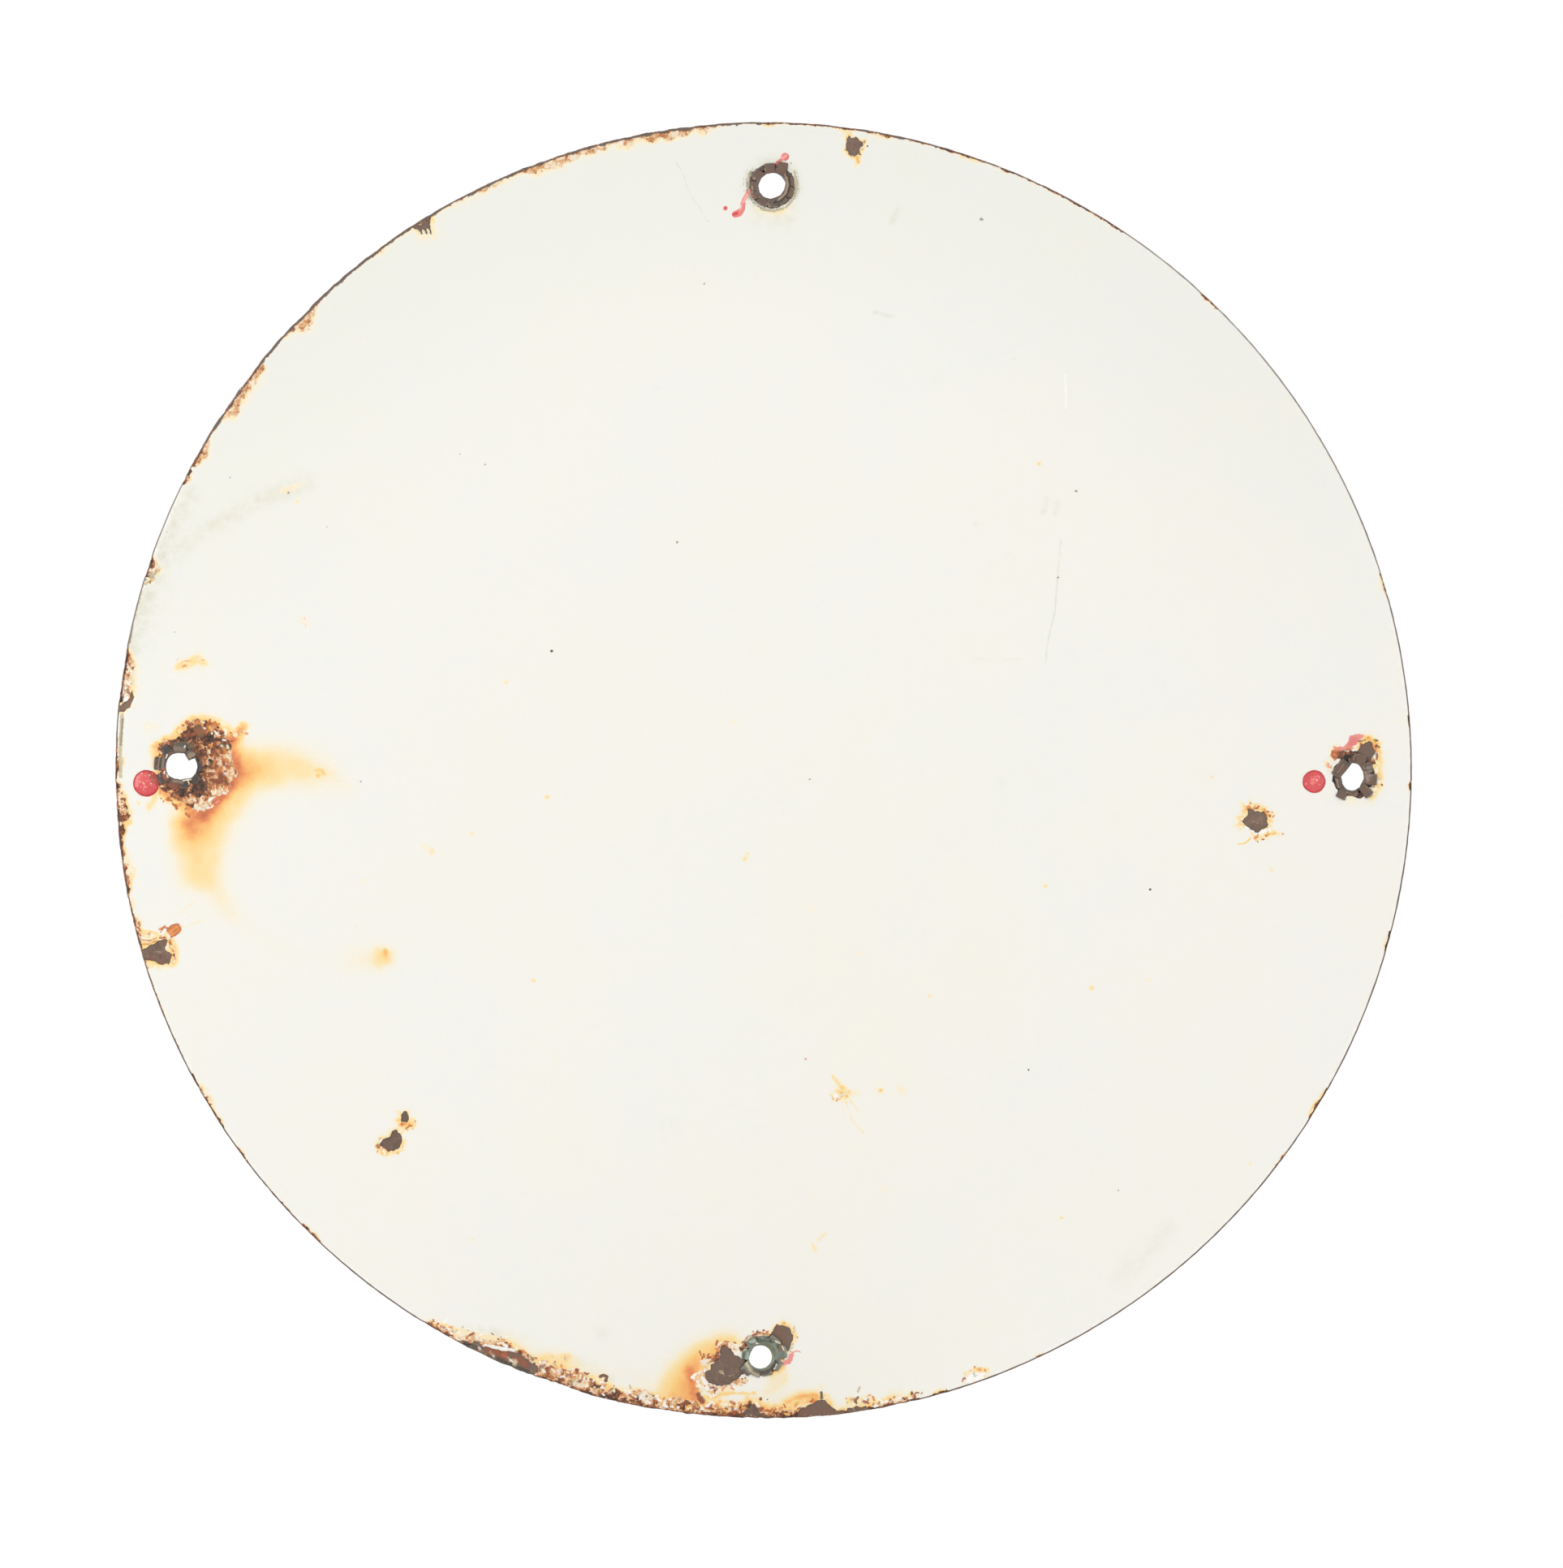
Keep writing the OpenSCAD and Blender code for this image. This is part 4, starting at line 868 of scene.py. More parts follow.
def rim_layers(xz, share):
    """Crust, stain and darkness that the rim's rust gives each place."""
    inward = inward_of(xz)
    depth, strength, dark = rim_rust(turn_of(xz))
    depth = depth * share
    coarse = fractal(*xz.T, 2.6, 72) - 0.5
    rough = fractal(*xz.T, 0.9, 73) - 0.5
    eaten = inward + coarse * (0.5 + 1.3 * depth) + rough * (0.4 + 0.6 * depth)
    rusty = smooth(depth / 0.3 - 0.3)
    patchy = smooth(3.4 * fractal(*xz.T, 1.7, 74) - 1.1)
    rind = smooth(2.0 - (inward + 0.5 * coarse + 0.6 * rough) / 0.45)
    body = smooth(0.5 + (0.9 * depth - eaten) / 0.5) * (0.6 + 0.4 * patchy)
    crust = np.maximum(body, rind) * strength * rusty
    near_halo = smooth(1 - (eaten - 0.9 * depth) / (0.6 + 0.4 * depth)) * strength * rusty
    haze = smooth(1 - (inward - depth) / (1.2 + depth)) * strength * rusty
    amber = np.clip(0.46 + 0.4 * dark, 0.12, 0.5)
    stain = 1 - (1 - amber * near_halo * (0.4 + 0.6 * patchy)) * (1 - 0.12 * haze)
    return crust, stain, (dark + 0.9 * rind - 0.55 * (1 - rind)) * rusty


# Distance from the centre where the painted shade towards the upper rim starts, and over what stretch it
# grows
RIM_SHADE_FROM, RIM_SHADE_OVER = 85, 70

# Turns from the top between which the rim is bare, and the bare line's width and tone
BARE_FROM, BARE_TO = -63, 36
BARE_W = 0.95
BARE_TONE = (122, 106, 97)


def painted_rim_shade(xz):
    """Painted shade: a cooler, greyer tone that grows towards the upper rim, weaker on the right."""
    outer = smooth((from_centre(xz) - RIM_SHADE_FROM) / RIM_SHADE_OVER)
    upper = smooth((xz[:, 1] + 10) / 120)
    return outer * upper * (0.75 - 0.25 * xz[:, 0] / PLATE_R)


def bare_rim(xz):
    """Cover of the bare line that the worn enamel leaves along the upper rim."""
    inward = inward_of(xz)
    turn = (turn_of(xz) + 180) % 360 - 180
    along = smooth((turn - BARE_FROM) / 5) * smooth((BARE_TO - turn) / 8)
    ragged = fractal(*xz.T, 1.6, 75) - 0.5
    wide = BARE_W - 0.4 * smooth((turn + 8) / 12)
    return 0.95 * along * smooth((wide + 0.9 * ragged - inward) / 0.35)


def laid_over(under, tone, amount):
    """Painted places with a tone laid over them by the given amounts."""
    cover = amount + under[:, 3] * (1 - amount)
    share = (amount / np.maximum(cover, 1e-6))[:, None]
    return np.column_stack([under[:, :3] * (1 - share) + linear(tone) * share, cover])


def layers_at(xz, marks, rim_share):
    """Stain, crust, its darkness, grime and the painted shade at the upper rim at each place, and the
    painted colour with its cover.
    """
    layers = {name: np.zeros(len(xz)) for name in ("stain", "crust", "char", "flake", "grime")}
    # Painted shade towards the upper rim, on the back's ivory coat only
    layers["shade"] = painted_rim_shade(xz) * (rim_share == 1)
    paint = np.zeros((len(xz), 4))
    for number, mark in enumerate(marks):
        picked, amount = brush(mark, xz, MARK_SEED + number)
        if mark.layer in layers:
            layers[mark.layer][picked] = 1 - (1 - layers[mark.layer][picked]) * (1 - amount)
            continue
        paint[picked] = laid_over(paint[picked], mark.layer, amount)
    if rim_share == 1:
        paint = laid_over(paint, BARE_TONE, bare_rim(xz))
    crust, stain, dark = rim_layers(xz, rim_share)
    layers["crust"] = np.maximum(layers["crust"], crust)
    layers["stain"] = 1 - (1 - layers["stain"]) * (1 - stain)
    layers["char"] = layers["char"] - layers.pop("flake") + dark
    return layers, paint


# Triangulated plates with chipped outlines

# Widest spacing of points, how often it can be halved, and its growth away from a feature
BROAD = 3.2
LEVELS = 4
GROWTH = 0.5


def wanted_spacing(xz, half, features):
    """Point spacing wanted at each place: fine at the features, and growing away from them."""
    wanted = np.full(len(xz), BROAD)
    for line, reach, spacing in features:
        picked = near(line, reach + half + BROAD / GROWTH, xz)
        beyond = np.maximum(distance_to(line, xz[picked]) - reach - half, 0)
        wanted[picked] = np.minimum(wanted[picked], spacing + GROWTH * beyond)
    return wanted


def rim_spacing(xz, half, rim_share, fine):
    """Point spacing wanted near the rim, fine where the rust is."""
    inward = inward_of(xz)
    depth = rim_rust(turn_of(xz))[0] * rim_share
    beyond = np.maximum(inward - 2 * depth - half, 0)
    rusty = np.where(depth > 0.1, fine + GROWTH * beyond, BROAD)
    return np.minimum(rusty, 0.8 + GROWTH * np.maximum(inward - half - 1, 0))


# Shares of a cell's size: half its diagonal, the spacing that splits it and its point's jitter
CELL_HALF, CELL_SPLIT, JITTER = 0.7, 0.72, 0.28


def scatter(radius, features, seed, rim_share, fine):
    """Jittered points over the disc, split where finer spacing is wanted."""
    count = int(radius / BROAD) + 2
    steps = np.arange(-count, count + 1) * BROAD
    cells = np.stack(np.meshgrid(steps, steps), -1).reshape(-1, 2) + DISC
    size, kept, rng = BROAD, [], np.random.default_rng(seed)
    for level in range(LEVELS + 1):
        cells = cells[from_centre(cells) < radius + size]
        wanted = wanted_spacing(cells, CELL_HALF * size, features)
        wanted = np.minimum(wanted, rim_spacing(cells, CELL_HALF * size, rim_share, fine))
        split = (wanted < CELL_SPLIT * size) & (level < LEVELS)
        shift = rng.uniform(-JITTER, JITTER, (np.count_nonzero(~split), 2))
        kept.append(cells[~split] + shift * size)
        corners = [(a, b) for a in (-0.25, 0.25) for b in (-0.25, 0.25)]
        cells = np.concatenate([cells[split] + np.array(corner) * size for corner in corners])
        size /= 2
    return np.concatenate(kept)


def area(loop):
    """Area inside a closed outline, negative when it runs clockwise."""
    x, z = np.asarray(loop).T
    return np.sum(x * np.roll(z, -1) - z * np.roll(x, -1)) / 2


def resample(outline, step):
    """Points every step along a closed outline."""
    points = np.vstack([outline, outline[:1]])
    along = run_along(points)
    places = np.linspace(0, along[-1], max(8, int(along[-1] / step)), endpoint=False)
    return on_line(points, along, places)


# Spacing of the points on a chip's outline and a hole's, and how far a chip's edge wanders
CHIP_STEP, HOLE_STEP, CHIP_WANDER = 0.28, 0.28, 1.3


def chip_outline(outline, shrink, seed):
    """Chip outline with a ragged, slightly rounded edge, drawn in by shrink."""
    points = resample(np.array(outline, float), CHIP_STEP)
    for _ in range(2):
        points = eased(points)
    ragged = np.stack([fractal(*points.T, 0.9, seed + 10 * axis, 4) - 0.5 for axis in (0, 1)], -1)
    away = points - points.mean(0)
    away /= np.maximum(length(away), 0.1)[:, None]
    points = points + ragged * CHIP_WANDER - away * shrink
    while crosses_itself(points):
        points = eased(points)
    return points if area(points) > 0 else points[::-1]


def crosses_itself(points):
    """True when two sides of a closed outline meet anywhere but at a corner they share."""
    start, along = points, np.roll(points, -1, 0) - points
    gap = start[None] - start[:, None]
    turned = along[:, None, 0] * along[None, :, 1] - along[:, None, 1] * along[None, :, 0]
    turned = np.where(np.abs(turned) < 1e-12, 1e-12, turned)
    here = (gap[..., 0] * along[None, :, 1] - gap[..., 1] * along[None, :, 0]) / turned
    there = (gap[..., 0] * along[:, None, 1] - gap[..., 1] * along[:, None, 0]) / turned
    meets = (here > 0) & (here < 1) & (there > 0) & (there < 1)
    count = len(points)
    apart = (np.arange(count)[None] - np.arange(count)[:, None]) % count
    return bool((meets & (apart > 1) & (apart < count - 1)).any())


def circle(centre, radius, step):
    """Points about every step round a circle."""
    turns = np.linspace(0, 2 * math.pi, int(2 * math.pi * radius / step), endpoint=False)
    return np.array(centre) + radius * rays(turns)


def worn_circle(radius, wear, seed):
    """The disc's outline, bitten back where the rim is rusty."""
    ring = circle(DISC, radius, 0.45)
    depth, strength, _ = rim_rust(turn_of(ring))
    bite = wear * depth * strength * fractal(*ring.T, 1.6, seed)
    bite += 0.08 * value_noise(*ring.T, 1.3, seed + 5)
    return DISC + (ring - DISC) * (1 - bite / radius)[:, None]


def triangulate(points, loops):
    """Places and counter-clockwise triangles inside the first loop and outside the others."""
    coords = [Vector(p) for p in points]
    faces = []
    for loop in loops:
        faces.append(list(range(len(coords), len(coords) + len(loop))))
        coords.extend(Vector(p) for p in loop)
    made = delaunay_2d_cdt(coords, [], faces, 0, 1e-5, True)
    xz = np.array([place[:] for place in made[0]], float)
    triangles = turned_up(xz, np.array([f for f, o in zip(made[2], made[5]) if o == [0]]))
    used, triangles = np.unique(without_pinches(triangles), return_inverse=True)
    return xz[used], triangles.reshape(-1, 3)


def turned_up(xz, triangles):
    """The triangles, all running counter-clockwise."""
    a, b, c = (xz[triangles[:, k]] for k in range(3))
    clockwise = (b - a)[:, 0] * (c - a)[:, 1] < (b - a)[:, 1] * (c - a)[:, 0]
    triangles[clockwise] = triangles[clockwise][:, ::-1]
    return triangles


def without_pinches(triangles):
    """The triangles, less those round any place where the border touches itself."""
    while True:
        starts, counts = np.unique(border_edges(triangles)[:, 0], return_counts=True)
        pinched = starts[counts > 1]
        if not len(pinched):
            return triangles
        triangles = triangles[~np.isin(triangles, pinched).any(axis=1)]


def border_edges(triangles):
    """Directed edges that only one triangle uses."""
    edges = np.concatenate([triangles[:, [0, 1]], triangles[:, [1, 2]], triangles[:, [2, 0]]])
    known = {(a, b) for a, b in edges.tolist()}
    return np.array([(a, b) for a, b in edges.tolist() if (b, a) not in known])


def outward(xz, edges):
    """Unit direction out of the plate at each place on its border."""
    along = xz[edges[:, 1]] - xz[edges[:, 0]]
    across = np.stack([along[:, 1], -along[:, 0]], -1)
    total = np.zeros_like(xz)
    np.add.at(total, edges[:, 0], across)
    np.add.at(total, edges[:, 1], across)
    return total / np.maximum(length(total), 1e-9)[:, None]


def chain(edges):
    """The border's closed loops as lists of indices."""
    following = dict(edges.tolist())
    loops = []
    while following:
        start, here = next(iter(following.items()))
        del following[start]
        loop = [start]
        while here != start and here in following:
            loop.append(here)
            here = following.pop(here)
        loops.append(loop)
    return loops


def cap_of(xz, edges):
    """Triangles that close the border's loops with no points between them."""
    loops = [loop for loop in chain(edges) if len(loop) > 2]
    outer = [loop for loop in loops if area(xz[loop]) > 0]
    order = outer + [loop[::-1] for loop in loops if area(xz[loop]) <= 0]
    flat = [i for loop in order for i in loop]
    faces, start = [], 0
    for loop in order:
        faces.append(list(range(start, start + len(loop))))
        start += len(loop)
    made = delaunay_2d_cdt([Vector(xz[i]) for i in flat], [], faces, 0, 1e-6, True)
    source = [flat[o[0]] if o else -1 for o in made[3]]
    inside = [f for f, o in zip(made[2], made[5]) if len(o) == 1 and o[0] < len(outer)]
    triangles = np.array([[source[i] for i in f] for f in inside])
    return turned_up(xz, triangles[(triangles >= 0).all(axis=1)])


# A plate's points and faces, the place each point takes its wear from, and its rank at the border
Slab = namedtuple("Slab", "verts faces xz ring")


def slab(xz, triangles, height, rings, side):
    """Closed plate: a top at the given heights, a wall through the rings and a flat foot."""
    edges = border_edges(triangles)
    border = np.unique(edges)
    place = {index: k for k, index in enumerate(border.tolist())}
    away = outward(xz, edges)[border]
    verts, places = [np.column_stack([xz, height])], [xz]
    level = np.zeros(len(xz))
    level[border] = 1
    ranks = [level]
    for offset, ring_height in rings:
        ring_xz = xz[border] + away * offset
        verts.append(np.column_stack([ring_xz, np.full(len(border), ring_height)]))
        places.append(ring_xz)
        ranks.append(np.full(len(border), 2))
    faces = triangles.tolist()
    rows = [border] + [len(xz) + k * len(border) + np.arange(len(border)) for k in range(len(rings))]
    walk = [(place[a], place[b]) for a, b in edges.tolist()]
    for upper, lower in zip(rows[:-1], rows[1:]):
        faces += [[upper[b], upper[a], lower[a], lower[b]] for a, b in walk]
    foot = cap_of(xz, edges)
    last = rows[-1]
    faces += [[last[place[c]], last[place[b]], last[place[a]]] for a, b, c in foot.tolist()]
    flat = np.concatenate(verts)
    solid = np.column_stack([flat[:, 0], side * flat[:, 2], flat[:, 1]])
    if side == FRONT:
        faces = [list(reversed(face)) for face in faces]
    return Slab(solid, faces, np.concatenate(places), np.concatenate(ranks))


# Pieces


def add_piece(name, verts, faces, material, replaced):
    """Smooth-shaded mesh that rides on the root body and stands for the given nodes."""
    mesh = bpy.data.meshes.new(name)
    mesh.from_pydata((np.asarray(verts) * MM).tolist(), [], [list(map(int, f)) for f in faces])
    mesh.polygons.foreach_set("use_smooth", np.ones(len(mesh.polygons), bool))
    mesh.materials.append(material)
    piece = bpy.data.objects.new(name, mesh)
    bpy.context.scene.collection.objects.link(piece)
    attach(piece, "root")
    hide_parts(*replaced)
    return piece


def store(piece, name, values):
    """Keeps one number, or one colour with its cover, at each vertex."""
    values = np.asarray(values, np.float32)
    if values.ndim == 1:
        piece.data.attributes.new(name, "FLOAT", "POINT").data.foreach_set("value", values)
    else:
        piece.data.attributes.new(name, "FLOAT_COLOR", "POINT").data.foreach_set("color", values.ravel())


def store_layers(piece, layers, paint, lip):
    """Keeps a piece's layers, paint and paler edge for its material: worn enamel on the coats, a painted
    highlight on the eyelets.
    """
    for name, values in layers.items():
        store(piece, name, values)
    store(piece, "paint", paint)
    store(piece, "lip", lip)


# Closest and widest spacing of points in a mark, and the closest in crust and in a halo
CLOSEST, WIDEST, IN_CRUST, IN_HALO = 0.27, 2.0, 0.34, 0.36


def mark_features(marks):
    """Lines, reaches and spacings that the marks want from a mesh."""
    features = []
    for mark in marks:
        blurred = mark.layer in ("stain", "grime") and mark.soft > 0.7
        spacing = max(CLOSEST, mark.radius * (0.5 if blurred else 0.36))
        if mark.layer == "crust":
            spacing = IN_CRUST
        if mark.kind == "halo":
            spacing = max(IN_HALO, 0.13 * mark.radius)
        reach = mark.radius * (1 + mark.soft) if mark.kind == "line" else mark.radius
        features.append((mark.points, reach, min(spacing, WIDEST)))
    return features


def loop_features(loops, reach, spacing):
    """Reach and spacing that closed outlines want from a mesh, taken at every third point."""
    return [(np.vstack([loop, loop[:1]])[::3], reach, spacing) for loop in loops]


def thin_out(points, loops, gap):
    """The points that keep the gap from every loop."""
    places = [place for loop in loops for place in loop]
    tree = kdtree.KDTree(len(places))
    for number, (x, z) in enumerate(places):
        tree.insert((x, z, 0), number)
    tree.balance()
    return np.array([p for p in points if tree.find((p[0], p[1], 0))[2] > gap])


# Materials

# How much fine noise breaks the edges of crust and paint
FRAYING = 0.9


class Graph:
    """Writes the nodes of one material or of the world."""

    def __init__(self, tree):
        self.tree = tree
        self.tree.nodes.clear()

    def node(self, kind, inputs=(), **settings):
        made = self.tree.nodes.new(kind)
        for key, value in settings.items():
            setattr(made, key, value)
        for key, value in dict(inputs).items():
            if isinstance(value, bpy.types.NodeSocket):
                self.tree.links.new(value, made.inputs[key])
            else:
                made.inputs[key].default_value = value
        return made

    def math(self, operation, a, b=0.0, clamp=False):
        return self.node("ShaderNodeMath", {0: a, 1: b}, operation=operation, use_clamp=clamp).outputs[0]

    def plus(self, a, b, clamp=False):
        return self.math("ADD", a, b, clamp)

    def minus(self, a, b):
        return self.math("SUBTRACT", a, b)

    def times(self, a, b, clamp=False):
        return self.math("MULTIPLY", a, b, clamp)

    def most(self, a, b):
        return self.math("MAXIMUM", a, b)

    def vector(self, operation, a, other):
        """A vector scaled by a number, or joined with another vector."""
        key = "Scale" if operation == "SCALE" else 1
        return self.node("ShaderNodeVectorMath", {0: a, key: other}, operation=operation).outputs[0]

    def mix(self, share, a, b, blend="MIX"):
        inputs = {0: share, 6: a, 7: b}
        return self.node("ShaderNodeMix", inputs, data_type="RGBA", blend_type=blend).outputs[2]

    def lerp(self, share, a, b):
        return self.node("ShaderNodeMix", {0: share, 2: a, 3: b}, data_type="FLOAT").outputs[0]

    def step(self, value, low, high):
        """0 below low, 1 above high and smooth between."""
        inputs = {"Value": value, "From Min": low, "From Max": high}
        return self.node("ShaderNodeMapRange", inputs, interpolation_type="SMOOTHSTEP").outputs[0]

    def ramp(self, value, stops):
        made = self.node("ShaderNodeValToRGB", {0: value})
        elements = made.color_ramp.elements
        while len(elements) < len(stops):
            elements.new(1.0)
        for element, (place, colour) in zip(elements, stops):
            element.position = place
            element.color = self.colour(colour)
        return made.outputs[0]

    def attribute(self, name, output="Fac"):
        return self.node("ShaderNodeAttribute", attribute_name=name).outputs[output]

    def noise(self, place, scale, detail=3.0, roughness=0.55):
        inputs = {"Vector": place, "Scale": scale, "Detail": detail, "Roughness": roughness}
        return self.node("ShaderNodeTexNoise", inputs).outputs[0]

    def cell_tone(self, place, scale, channel):
        """A random number for each cell, from one channel of the cells' colours."""
        cells = self.node("ShaderNodeTexVoronoi", {"Vector": place, "Scale": scale})
        return self.node("ShaderNodeSeparateColor", {0: cells.outputs["Color"]}).outputs[channel]

    def cell_edge(self, place, scale):
        inputs = {"Vector": place, "Scale": scale}
        return self.node("ShaderNodeTexVoronoi", inputs, feature="DISTANCE_TO_EDGE").outputs[0]

    def frayed(self, cover, fine):
        """A cover with its edge broken by fine noise."""
        return self.plus(cover, self.times(self.minus(fine, 0.5), FRAYING))

    def colour(self, name):
        return (*linear(name), 1)


# Colours of stain from the faintest to the deepest, and of crust from its darkest to its palest tone
STAIN_RAMP = [
    (0.0, "ivory"), (0.14, (249, 239, 214)), (0.32, (251, 225, 166)), (0.5, (252, 206, 128)),
    (0.68, (246, 171, 100)), (0.84, (224, 128, 78)), (1.0, (176, 90, 60)),
]
CRUST_RAMP = [
    (0.0, (52, 44, 40)), (0.22, (82, 62, 52)), (0.38, (116, 74, 56)), (0.5, (156, 94, 64)),
    (0.6, (206, 140, 92)), (0.69, (236, 190, 140)), (0.78, (248, 228, 198)), (1.0, (251, 245, 235)),
]

# Place in millimetres, and noise at four sizes from broad clouds to fine grain
Noise = namedtuple("Noise", "place broad mid fine grain")


def new_material(name):
    """A new material, and the graph that writes its nodes."""
    material = bpy.data.materials.new(name)
    material.use_nodes = True
    return material, Graph(material.node_tree)


def noises(g):
    """The place of each point in millimetres, and the noise there."""
    metres = g.node("ShaderNodeTexCoord").outputs["Object"]
    place = g.vector("SCALE", metres, 1 / MM)
    return Noise(place, g.noise(place, 0.025, 2), g.noise(place, 0.45, 3),
                 g.noise(place, 2.1, 4, 0.62), g.noise(place, 7.0, 3, 0.6))


def base_colour(g, noise, lip, tones, edge, speckle):
    """Two mottled tones under a paler edge, painted shade towards the upper rim and grime."""
    mottle = g.lerp(0.4, g.step(noise.broad, 0.35, 0.65), g.step(noise.mid, 0.3, 0.7))
    speck = g.times(g.minus(g.plus(noise.fine, noise.grain), 1.0), speckle)
    colour = g.ramp(g.plus(mottle, speck, clamp=True), tones)
    # The paler edge: worn enamel on the coats, and a painted highlight on the eyelets' lips and tabs
    colour = g.mix(g.times(lip, 0.8), colour, g.colour(edge))
    # Painted shade towards the upper rim, from the shade attribute
    colour = g.mix(g.times(g.attribute("shade"), 0.6), colour, g.colour("rim_shade_tone"))
    cloudy = g.step(g.plus(noise.mid, g.times(noise.fine, 0.6)), 0.5, 1.15)
    grime = g.times(g.attribute("grime"), cloudy)
    return g.mix(g.times(grime, 0.6), colour, g.colour("smudge"))


def stain_layer(g, noise, stops):
    """Cover and colour of the rust stain."""
    amount = g.attribute("stain")
    streaky = g.plus(0.8, g.times(noise.mid, 0.4))
    gritty = g.times(g.minus(noise.fine, 0.5), g.times(amount, 0.22))
    stain = g.plus(g.times(amount, streaky), gritty, clamp=True)
    return g.step(stain, 0.0, 0.3), g.ramp(stain, stops)


def bent_place(g, place):
    """The place pushed about by noise, so that cells get uneven sides."""
    warp = g.node("ShaderNodeTexNoise", {"Vector": place, "Scale": 0.9, "Detail": 2.0}).outputs[1]
    push = g.vector("SCALE", g.vector("SUBTRACT", warp, (0.5, 0.5, 0.5)), 1.8)
    return g.vector("ADD", place, push)


def crust_tone(g, noise):
    """Tone of the crust: mottled by cells and clumps, darker where charred and veined by ridges."""
    bent = bent_place(g, noise.place)
    cell = g.plus(g.times(g.cell_tone(bent, 0.62, 0), 0.72), g.times(g.cell_tone(bent, 1.35, 1), 0.28))
    char = g.attribute("char")
    clump = g.noise(noise.place, 0.8, 3, 0.6)
    tone = g.minus(g.plus(g.times(cell, 0.55), g.times(clump, 1.0)), 0.37)
    tone = g.minus(tone, g.times(char, 0.26))
    tone = g.plus(tone, g.times(g.step(g.attribute("crust"), 1.0, 0.4), 0.16))
    tone = g.lerp(g.times(g.step(char, -0.85, -1.2), 0.5), tone, 0.72)
    tone = g.plus(tone, g.times(g.minus(noise.fine, 0.5), 0.3))
    ridge = g.times(g.step(g.cell_edge(bent, 0.8), 0.09, 0.03), g.step(noise.fine, 0.46, 0.56))
    flaky = g.step(char, 0.1, -0.4)
    return g.plus(tone, g.times(ridge, g.lerp(flaky, 0.24, -0.17)), clamp=True)


def crust_layer(g, noise):
    """Cover and colour of the flaky rust."""
    amount = g.attribute("crust")
    ragged = g.frayed(amount, noise.fine)
    cover = g.times(g.step(ragged, 0.36, 0.5), g.step(amount, 0.02, 0.12))
    return cover, g.ramp(crust_tone(g, noise), CRUST_RAMP)


def paint_layer(g, noise):
    """Cover and colour of the painted marks."""
    amount = g.attribute("paint", "Alpha")
    ragged = g.frayed(amount, noise.fine)
    cover = g.times(g.step(ragged, 0.2, 0.62), g.step(amount, 0.02, 0.15))
    shade = g.plus(0.72, g.times(noise.grain, 0.56))
    return cover, g.mix(1.0, g.attribute("paint", "Color"), shade, "MULTIPLY")


def surface_bumps(g, noise, peel):
    """Orange peel in the glaze, and rough crust."""
    firm = g.step(g.attribute("crust"), 0.4, 0.9)
    bumps = g.times(noise.mid, peel)
    bumps = g.plus(bumps, g.times(g.times(noise.fine, firm), 0.16))
    bumps = g.plus(bumps, g.times(g.times(noise.grain, firm), 0.05))
    return g.node("ShaderNodeBump", {"Height": bumps, "Distance": MM, "Strength": 1.0}).outputs[0]


def weathered(name, tones, roughness, metallic=0.0, peel=0.006, edge="white", stain_from=STAIN_RAMP,
              speckle=0.0):
    """Enamel or metal under grime, rust stain, flaky crust and painted marks."""
    material, g = new_material(name)
    noise = noises(g)
    lip = g.times(g.attribute("lip"), g.step(noise.mid, 0.4, 0.62), clamp=True)
    stain, stain_colour = stain_layer(g, noise, stain_from)
    crust, crust_colour = crust_layer(g, noise)
    paint, paint_colour = paint_layer(g, noise)
    colour = base_colour(g, noise, lip, tones, edge, speckle)
    colour = g.mix(stain, colour, stain_colour)
    colour = g.mix(crust, colour, crust_colour)
    colour = g.mix(paint, colour, paint_colour)
    plain = g.plus(roughness, g.times(noise.mid, 0.05))
    rough = g.lerp(g.times(stain, 0.6), plain, 0.45)
    for cover, covered_roughness in ((lip, 0.6), (paint, 0.55), (crust, 0.86)):
        rough = g.lerp(cover, rough, covered_roughness)
    metal = metallic
    if metallic:
        metal = g.lerp(g.most(crust, g.most(paint, stain)), metallic, 0.0)
    bump = surface_bumps(g, noise, peel)
    shader = g.node("ShaderNodeBsdfPrincipled", {
        "Base Color": colour, "Roughness": rough, "Metallic": metal, "Normal": bump})
    g.node("ShaderNodeOutputMaterial", {0: shader.outputs[0]})
    return material


IVORY = weathered("ivory_enamel", [(0.0, (246, 243, 233)), (0.5, "ivory"), (1.0, (243, 243, 237))], 0.16)
RED = weathered(
    "red_enamel", [(0.0, (166, 32, 36)), (0.5, (180, 40, 43)), (1.0, (190, 48, 50))], 0.16,
    edge="pink", stain_from=[(0.0, (164, 34, 36)), (0.4, (140, 46, 34)), (1.0, (86, 44, 34))])
GROUND = weathered(
    "ground_enamel", [(0.0, (98, 81, 72)), (1.0, (120, 101, 90))], 0.4,
    edge="steel", stain_from=[(0.0, "dark"), (0.5, "red_brown"), (1.0, "dark")])
STEEL = weathered(
    "bare_steel", [(0.0, (98, 78, 68)), (0.5, (119, 96, 82)), (1.0, (141, 115, 98))], 0.6,
    metallic=0.1, peel=0.05, edge="steel",
    stain_from=[(0.0, "steel"), (0.45, (120, 88, 72)), (1.0, (92, 68, 58))], speckle=2.0)
BRASS = weathered(
    "tarnished_brass", [(0.0, (74, 63, 58)), (0.5, (90, 78, 72)), (1.0, (108, 94, 86))], 0.5,
    metallic=0.3, peel=0.03, edge="brass_tan",
    stain_from=[(0.0, "brass_dark"), (0.5, (116, 84, 66)), (1.0, (84, 66, 56))])
